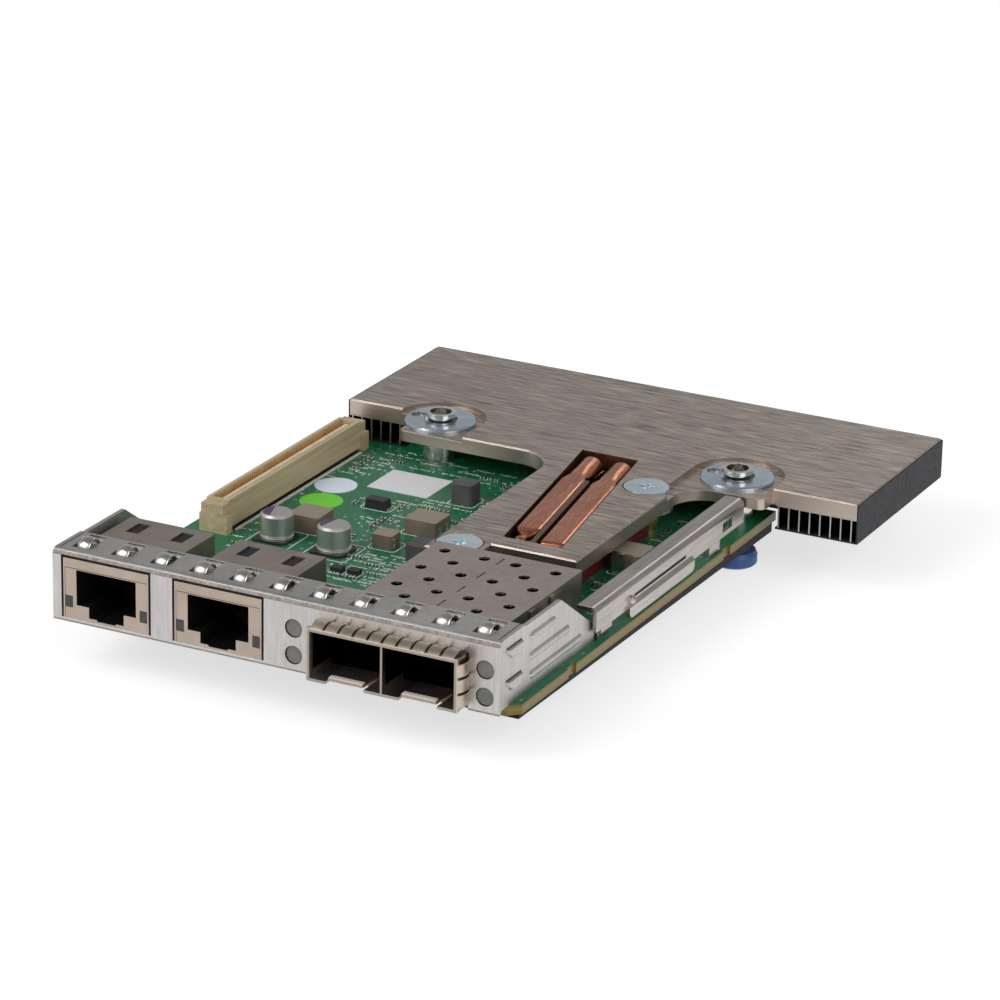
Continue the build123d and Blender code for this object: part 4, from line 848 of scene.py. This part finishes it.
# %% [markdown]
# A can capacitor has a dark print over part of its top, and a coil has metal terminals folded up
# its sides. The print is the part of a disc beyond a chord: one parameter runs along the chord, the
# other from chord to rim. Solidify gives the ink its thickness.

# %% Can marks and coil terminals
CAN_TOP, CAN_MARK_RADIUS, INK_THICK = 5.4, 2.66, 0.03
MARK_ACROSS, MARK_OUT, CHORD_SHARE = 24, 5, 0.999
ink = plastic("can_ink", (0.052, 0.03, 0.085), (0.085, 0.055, 0.125), (0.35, 0.5))


def can_mark(name, centre, heading, half_angle):
    """The cap of a disc beyond a chord: across is along the chord, out goes from chord to rim."""
    heading, half_angle = math.radians(heading), math.radians(half_angle)
    steps = np.linspace(-1, 1, MARK_ACROSS), np.linspace(0, 1, MARK_OUT)
    across, out = np.meshgrid(*steps, indexing="ij")
    chord = CAN_MARK_RADIUS * np.cos(half_angle)
    side = CAN_MARK_RADIUS * np.sin(half_angle) * across * CHORD_SHARE
    depth = chord + out * (np.sqrt(CAN_MARK_RADIUS ** 2 - side ** 2) - chord)
    x = centre[0] + depth * np.cos(heading) - side * np.sin(heading)
    y = centre[1] + depth * np.sin(heading) + side * np.cos(heading)
    points = np.stack([x, y, np.full(x.shape, CAN_TOP)], axis=2)
    corner = np.arange(MARK_ACROSS - 1)[:, None] * MARK_OUT + np.arange(MARK_OUT - 1)
    faces = (corner.reshape(-1, 1) + np.array([0, 1, MARK_OUT + 1, MARK_OUT])).tolist()
    piece = add_piece(name, points, faces, "black_plastic", ink)
    thick = piece.modifiers.new("ink", "SOLIDIFY")
    thick.thickness, thick.offset = INK_THICK * MM, 1.0
    return piece


can_mark("can_mark_left", (15.8, 52.3), 196, 72)
can_mark("can_mark_right", (28.2, 51.9), 170, 66)
side_x, side_y = in_mm("side_inductor")[0][:2]
(_, flat_near, _), (flat_x, flat_far, _) = in_mm("flat_inductor")
small_y, small_x = in_mm("small_inductor")[0][1], in_mm("small_inductor")[1][0]
terminals = joined(
    spans((side_x + 0.5, side_x + 2.9), (side_y - 0.1, side_y), (0.0, 3.95)),
    spans((side_x + 0.5, side_x + 2.9), (side_y - 0.1, side_y + 0.7), (3.95, 4.06)),
    spans((flat_x, flat_x + 0.12), (flat_near + 1.0, flat_near + 2.4), (0.0, 1.6)),
    spans((flat_x, flat_x + 0.12), (flat_far - 2.4, flat_far - 1.0), (0.0, 1.6)),
)
blocks("coil_terminals", *terminals, "solder_lead")
tip_low, tip_high = np.array([0.2, 1.3]), np.array([0.9, 2.1])
tips = spans((small_x, small_x + 0.14), (small_y + 0.5, small_y + 1.3), (tip_low, tip_high))
wire_end = sheet_metal("wire_end", (0.86, 0.62, 0.36), (0.97, 0.78, 0.52), (0.2, 0.3))
blocks("coil_wire_ends", *tips, "copper", wire_end)

# %% [markdown]
# A small regulator stands on short leads that come out of both long sides.

# %% Regulator leads
REGULATORS, REGULATOR_DEEP = np.array([(33.6, 43.6), (37.0, 43.8), (47.5, 48.2)]), 1.9
LEAD, LEAD_PITCH = (0.34, 0.44, 0.22), 0.7
lead_x = LEAD_PITCH * np.arange(-1, 2)
lead_y = np.array([-1.0, 1.0]) * (REGULATOR_DEEP / 2 + LEAD[1] / 2)
leads = np.stack(np.meshgrid(lead_x, lead_y, indexing="ij"), axis=2)
lead_places = REGULATORS[:, None, None] + leads
blocks("regulator_leads", *boxes_round(lead_places, LEAD), "solder_lead")

# %% [markdown]
# Each port has a sprung latch tab in its floor, whose lip stands up at the mouth and catches the
# light: a low block in front of the CAD tab. Its pale tin is a lighter, non-metallic copy of the
# cage's tin: a painted highlight.

# %% Lips of the latch tabs
PORT_MIDDLES, LIP_HALF = np.array([61.275, 75.525]), 3.3
LIP_Y, LIP_Z = (-3.4, -2.3), (0.72, 1.32)
lips = spans((PORT_MIDDLES - LIP_HALF, PORT_MIDDLES + LIP_HALF), LIP_Y, LIP_Z)
# A lighter, non-metallic copy of the cage's tin: a painted highlight.
lit_lip_tin = plastic("lit_lip_tin", (0.6, 0.53, 0.45), (0.78, 0.7, 0.6), (0.26, 0.4))
blocks("latch_lips", *lips, "tin_cage", lit_lip_tin)

# %% [markdown]
# A heat pipe is a round copper tube, pressed flat over the chip, round where it leaves, and pinched
# shut at one end. The CAD solids change from one section to the next in straight steps. Here a
# rounded section is carried along the pipe in small steps, and its width, height and squareness
# change smoothly between stations.

# %% Heat pipes
PIPE_STEPS, PIPE_ROUND = 14, 40


def eased(at_places, places, values):
    """Values along a run, blended between stations with a slope that starts and ends flat."""
    k = np.clip(np.searchsorted(places, at_places, side="right") - 1, 0, len(places) - 2)
    share = (at_places - places[k]) / (places[k + 1] - places[k])
    share = share * share * (3 - 2 * share)
    return values[k] + share[:, None] * (values[k + 1] - values[k])


def swell(wave, power):
    """A cosine or sine to a power, with its sign kept."""
    return np.sign(wave) * np.abs(wave) ** power


def heat_pipe(name, node, index, stations, ball=None):
    """A section carried along a leaning run.

    The section is a superellipse: cosine and sine to a power that goes from 1, round, towards 0,
    square. Stations give the place along Y, the width, the height, the bottom level and that power.
    Where a ball is given, by place, level and radius, the run is at least as thick as the ball.
    """
    stations = np.array(stations, float)
    share = np.arange(PIPE_STEPS) / PIPE_STEPS
    y = (stations[:-1, :1] + share * np.diff(stations[:, :1], axis=0)).ravel()
    y = np.append(y, stations[-1, 0])
    width, height, low, power = eased(y, stations[:, 0], stations[:, 1:]).T[:, :, None]
    if ball:
        half = np.sqrt(np.maximum(ball[2] ** 2 - (y[:, None] - ball[0]) ** 2, 0))
        wide = 2 * half > width
        width, height = np.where(wide, 2 * half, width), np.where(wide, 2 * half, height)
        low, power = np.where(wide, ball[1] - half, low), np.where(wide, 1.0, power)
    turn = 2 * np.pi * np.arange(PIPE_ROUND) / PIPE_ROUND
    across = swell(np.cos(turn), power) * width / 2
    level = low + height / 2 * (1 + swell(np.sin(turn), power))
    middle = POCKET_BACK_LEFT + (POCKET_BACK - y) * math.tan(LEAN)
    middle = middle + (POCKET_WIDTH / 2 + index * POCKET_STEP) / math.cos(LEAN)
    x = middle[:, None] + across * math.cos(LEAN)
    points = np.stack([x, y[:, None] + across * math.sin(LEAN), level], axis=2)[:, ::-1]
    piece = add_piece(name, points, ring_faces(1, len(y), PIPE_ROUND), "copper", smooth=True)
    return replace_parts(piece, node)


FLAT = (4.85, 2.45, 5.3, 0.36)
BEHIND = [
    (89.5, *FLAT), (93.2, 4.2, 3.3, 4.55, 0.8), (97.0, 4.7, 4.3, 3.65, 1.0),
    (101.9, 4.8, 4.3, 3.62, 1.0), (104.1, 4.4, 4.1, 0.7, 1.0), (112.6, 4.2, 4.2, 0.6, 1.0),
]
PINCHED = [
    (56.62, 0.2, 0.2, 6.5, 1.0), (58.9, 1.5, 1.5, 5.75, 1.0), (59.7, 1.6, 1.6, 5.6, 1.0),
    (63.0, *FLAT),
]
CUT = [(57.4, 4.0, 1.7, 5.3, 0.5), (57.75, 4.6, 2.25, 5.3, 0.42), (58.4, *FLAT)]
heat_pipe("pipe_left", "heat_pipe_left", 0, PINCHED + BEHIND, ball=(57.85, 6.6, 1.25))
heat_pipe("pipe_right", "heat_pipe_right", 1, CUT + BEHIND)

# %% [markdown]
# The springs on the faceplate's top are bowed strips that press on the chassis. Their crown
# matters: a domed strip shows a bright front and a dark back, while flat facets would flash all
# white. A thin section, highest in its middle, is carried over an arc for each spring, and a flat
# ladder below joins them.

# %% Spring fingers
FINGERS, FINGER_FIRST, FINGER_PITCH, FINGER_WIDTH, FINGER_THICK = 11, 4.4, 8.0, 2.6, 0.25
FINGER_FRONT, FINGER_BACK, FINGER_CROWN = 2.8, 7.2, 0.22
FINGER_STEPS, FINGER_ACROSS, GAP_WIDTH, GAP_BACK = 25, 9, 3.0, 8.4
finger_x = FINGER_FIRST + FINGER_PITCH * np.arange(FINGERS)
strip_low, strip_high = in_mm("emi_finger_strip")


def finger_points():
    """A domed strip over an arc: along it a circle gives the height, across it a shallow bow."""
    level, crest = strip_low[2], strip_high[2]
    half, rise = (FINGER_BACK - FINGER_FRONT) / 2, crest - level
    radius = (half ** 2 + rise ** 2) / (2 * rise)
    reach = math.asin(half / radius)
    swing = np.linspace(-reach, reach, FINGER_STEPS)[:, None]
    share = np.linspace(-1, 1, FINGER_ACROSS)
    bow = FINGER_CROWN * share ** 2
    across = np.concatenate([share, share[::-1]]) * FINGER_WIDTH / 2
    drop = np.concatenate([bow, bow[::-1] + FINGER_THICK])
    y = (FINGER_FRONT + FINGER_BACK) / 2 + np.sin(swing) * (radius - drop)
    z = np.maximum(crest - radius + np.cos(swing) * (radius - drop), level)
    return np.stack(np.broadcast_arrays(finger_x[:, None, None] + across, y, z), axis=3)


def ladder_corners():
    """The strip under the springs: blocks between them and a rail along each side."""
    (x0, y0, level), (x1, y1, _) = strip_low, strip_high
    starts = np.append(x0, finger_x + GAP_WIDTH / 2)
    ends = np.append(finger_x - GAP_WIDTH / 2, x1)
    thick = (level, level + FINGER_THICK)
    return joined(
        spans((starts, ends), (FINGER_FRONT, GAP_BACK), thick),
        spans((x0, x1), (y0, FINGER_FRONT), thick),
        spans((x0, x1), (GAP_BACK, y1), thick),
    )


finger_faces = ring_faces(FINGERS, FINGER_STEPS, 2 * FINGER_ACROSS)
piece = add_piece("spring_fingers", finger_points(), finger_faces, "spring_strip", smooth=True)
ladder = blocks("spring_ladder", *ladder_corners(), "spring_strip", cut=0.05)
for made in (piece, ladder):
    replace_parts(made, "emi_finger_strip")

# %% [markdown]
# A return spring inside its sleeve holds each captive screw down and shortens when the knob is
# pushed up. A CAD solid can only move as a whole. Here the spring is drawn as a round wire along a
# helix that rides on the spring's own body, and the share of its rest length that it keeps at the
# end of the stroke is printed.

# %% Return springs
SPRING_WIRE, SPRING_TURNS, SPRING_STEPS, WIRE_ROUND = 0.42, 4, 24, 8
slides = {j["name"]: j for j in frame["record"]["behaviour"]["joints"]}


def spring_points(low, high):
    """A circle carried along a helix: the helix turns about the box's axis and climbs evenly."""
    middle = (low + high) / 2
    radius = (high[0] - low[0] - SPRING_WIRE) / 2
    climb = high[2] - low[2] - SPRING_WIRE
    turn = np.linspace(0, 2 * np.pi * SPRING_TURNS, SPRING_TURNS * SPRING_STEPS + 1)
    out = np.column_stack([np.cos(turn), np.sin(turn), 0 * turn])
    line = radius * out + np.column_stack([0 * turn, 0 * turn, climb * turn / turn[-1]])
    rise = np.full(len(turn), climb / turn[-1])
    along = np.column_stack([-radius * np.sin(turn), radius * np.cos(turn), rise])
    along /= np.linalg.norm(along, axis=1)[:, None]
    side = np.cross(along, out)
    swing = (2 * np.pi * np.arange(WIRE_ROUND) / WIRE_ROUND)[:, None]
    wire = np.cos(swing) * out[:, None] + np.sin(swing) * side[:, None]
    foot = np.array([middle[0], middle[1], low[2] + SPRING_WIRE / 2])
    return foot + line[:, None] + SPRING_WIRE / 2 * wire


for side in ("left", "right"):
    low, high = in_mm("captive_spring_" + side)
    points = spring_points(low, high)
    piece = add_piece("return_spring_" + side, points, ring_faces(1, len(points), WIRE_ROUND),
                      "spring_wire", body="spring_" + side, smooth=True)
    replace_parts(piece, "captive_spring_" + side)
    stroke = slides["captive_slide_" + side]["range_m"][1] / MM
    keep = 1 - stroke / (high[2] - low[2])
    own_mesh(piece)
    print("spring", side, "keeps", round(keep, 3), "of", round(high[2] - low[2], 2), "mm")

# %% [markdown]
# The camera stands where the photographer stood: solving the picture's straight edges gave its
# direction, a slight roll, its distance and its long lens.

# %% Camera
AZIMUTH, ELEVATION, ROLL = (math.radians(a) for a in (26.77, 20.694, 1.129))
CAMERA_PLACE = at(401.889, -621.042, 301.257)
CAMERA_LENS, SENSOR = 160.62, 36.0


def stand(name, data, place, back, roll=0.0):
    """Put a camera or lamp at a place, with its back that way, turned about its axis by a roll."""
    right = np.cross((0.0, 0.0, 1.0), back)
    right /= np.linalg.norm(right)
    up = np.cross(back, right)
    rolled_right = math.cos(roll) * right + math.sin(roll) * up
    rolled_up = math.cos(roll) * up - math.sin(roll) * right
    turn = Matrix(np.column_stack([rolled_right, rolled_up, back]).tolist())
    made = bpy.data.objects.new(name, data)
    made.matrix_world = Matrix.Translation(place) @ turn.to_4x4()
    bpy.context.scene.collection.objects.link(made)
    return made


lens = bpy.data.cameras.new("camera")
lens.lens, lens.sensor_width = CAMERA_LENS, SENSOR
out = math.cos(ELEVATION)
camera_back = np.array([math.sin(AZIMUTH) * out, -math.cos(AZIMUTH) * out, math.sin(ELEVATION)])
bpy.context.scene.camera = stand("camera", lens, CAMERA_PLACE, camera_back, ROLL)
print("camera lens", CAMERA_LENS, "mm")

# %% [markdown]
# The light is that of a product table: a pale floor, a bright soft front and a dimmer back. Metal
# shows what it mirrors, so the world is a slope from dim to bright rather than one even grey. Two
# soft lamps give the card its shading and a pale shadow. A third, small and behind, draws a bright
# line along every rounded edge.

# %% Floor, world and lamps
FLOOR_HALF, FLOOR_GAP = 4.0, 0.4 * MM
FLOOR_TONE, FLOOR_GLOW = (0.5, 0.5, 0.5, 1.0), (0.68, 0.68, 0.68)
SKY_BACK, SKY_FRONT, SKY_ZENITH = 0.42, 0.64, 0.5


def floor_sheet(half, level):
    """A square sheet at one level: four corners, one face."""
    mesh = bpy.data.meshes.new("floor")
    corners = [(half * x, half * y, level) for x, y in ((-1, -1), (1, -1), (1, 1), (-1, 1))]
    mesh.from_pydata(corners, [], [(0, 1, 2, 3)])
    return bpy.data.objects.new("floor", mesh)


def floor_finish():
    """Pale floor: it takes light and shadow, and rays that see it directly get a little more."""
    f = Finish("floor", Base_Color=FLOOR_TONE, Roughness=0.9, Emission_Strength=1.0)
    seen = f.node("ShaderNodeLightPath", output="Is Camera Ray")
    for ray in ("Is Glossy Ray", "Is Transmission Ray"):
        seen = seen + f.node("ShaderNodeLightPath", output=ray)
    f.feed("Emission Color", f.mix(seen > 0.5, (0.0, 0.0, 0.0), FLOOR_GLOW))
    return f.material


def studio_world(dim, bright, zenith):
    """Sky by direction: from a bright front to a dim back, times a share that falls overhead."""
    world = bpy.data.worlds.new("studio")
    sky = Finish("studio", world, "Background", Color=(1.0, 1.0, 1.0, 1.0))
    slope = sky.ranged(sky.coordinate("Generated", "Y"), -0.9, 0.9, bright, dim)
    fall = sky.ranged(sky.coordinate("Generated", "Z"), 0.45, 0.9, 1.0, zenith)
    sky.feed("Strength", slope * fall)
    return world


def lamp(name, place, size, watts):
    """A square soft lamp at a place, turned to face the card."""
    data = bpy.data.lights.new(name, "AREA")
    data.size, data.energy = size, watts
    return stand(name, data, place, np.array(place) / np.linalg.norm(place))


floor = floor_sheet(FLOOR_HALF, cad_low.z - FLOOR_GAP)
floor.data.materials.append(floor_finish())
bpy.context.scene.collection.objects.link(floor)
floor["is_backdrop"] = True
bpy.context.scene.world = studio_world(SKY_BACK, SKY_FRONT, SKY_ZENITH)
lamp("key_lamp", (-0.55, -0.75, 0.85), 0.7, 6.0)
lamp("fill_lamp", (0.75, -0.35, 0.55), 0.6, 2.5)
lamp("rim_lamp", (-0.1, 1.0, 0.62), 0.3, 0.4)
bpy.context.scene.view_settings.view_transform = "Standard"
print("studio ready")

# %% [markdown]
# Last, the dressed model's box is printed. It should agree with the CAD model's.

# %% Sizes and finish
low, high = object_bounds()
print("size", [round((b - a) / MM, 2) for a, b in zip(low, high)], "mm")
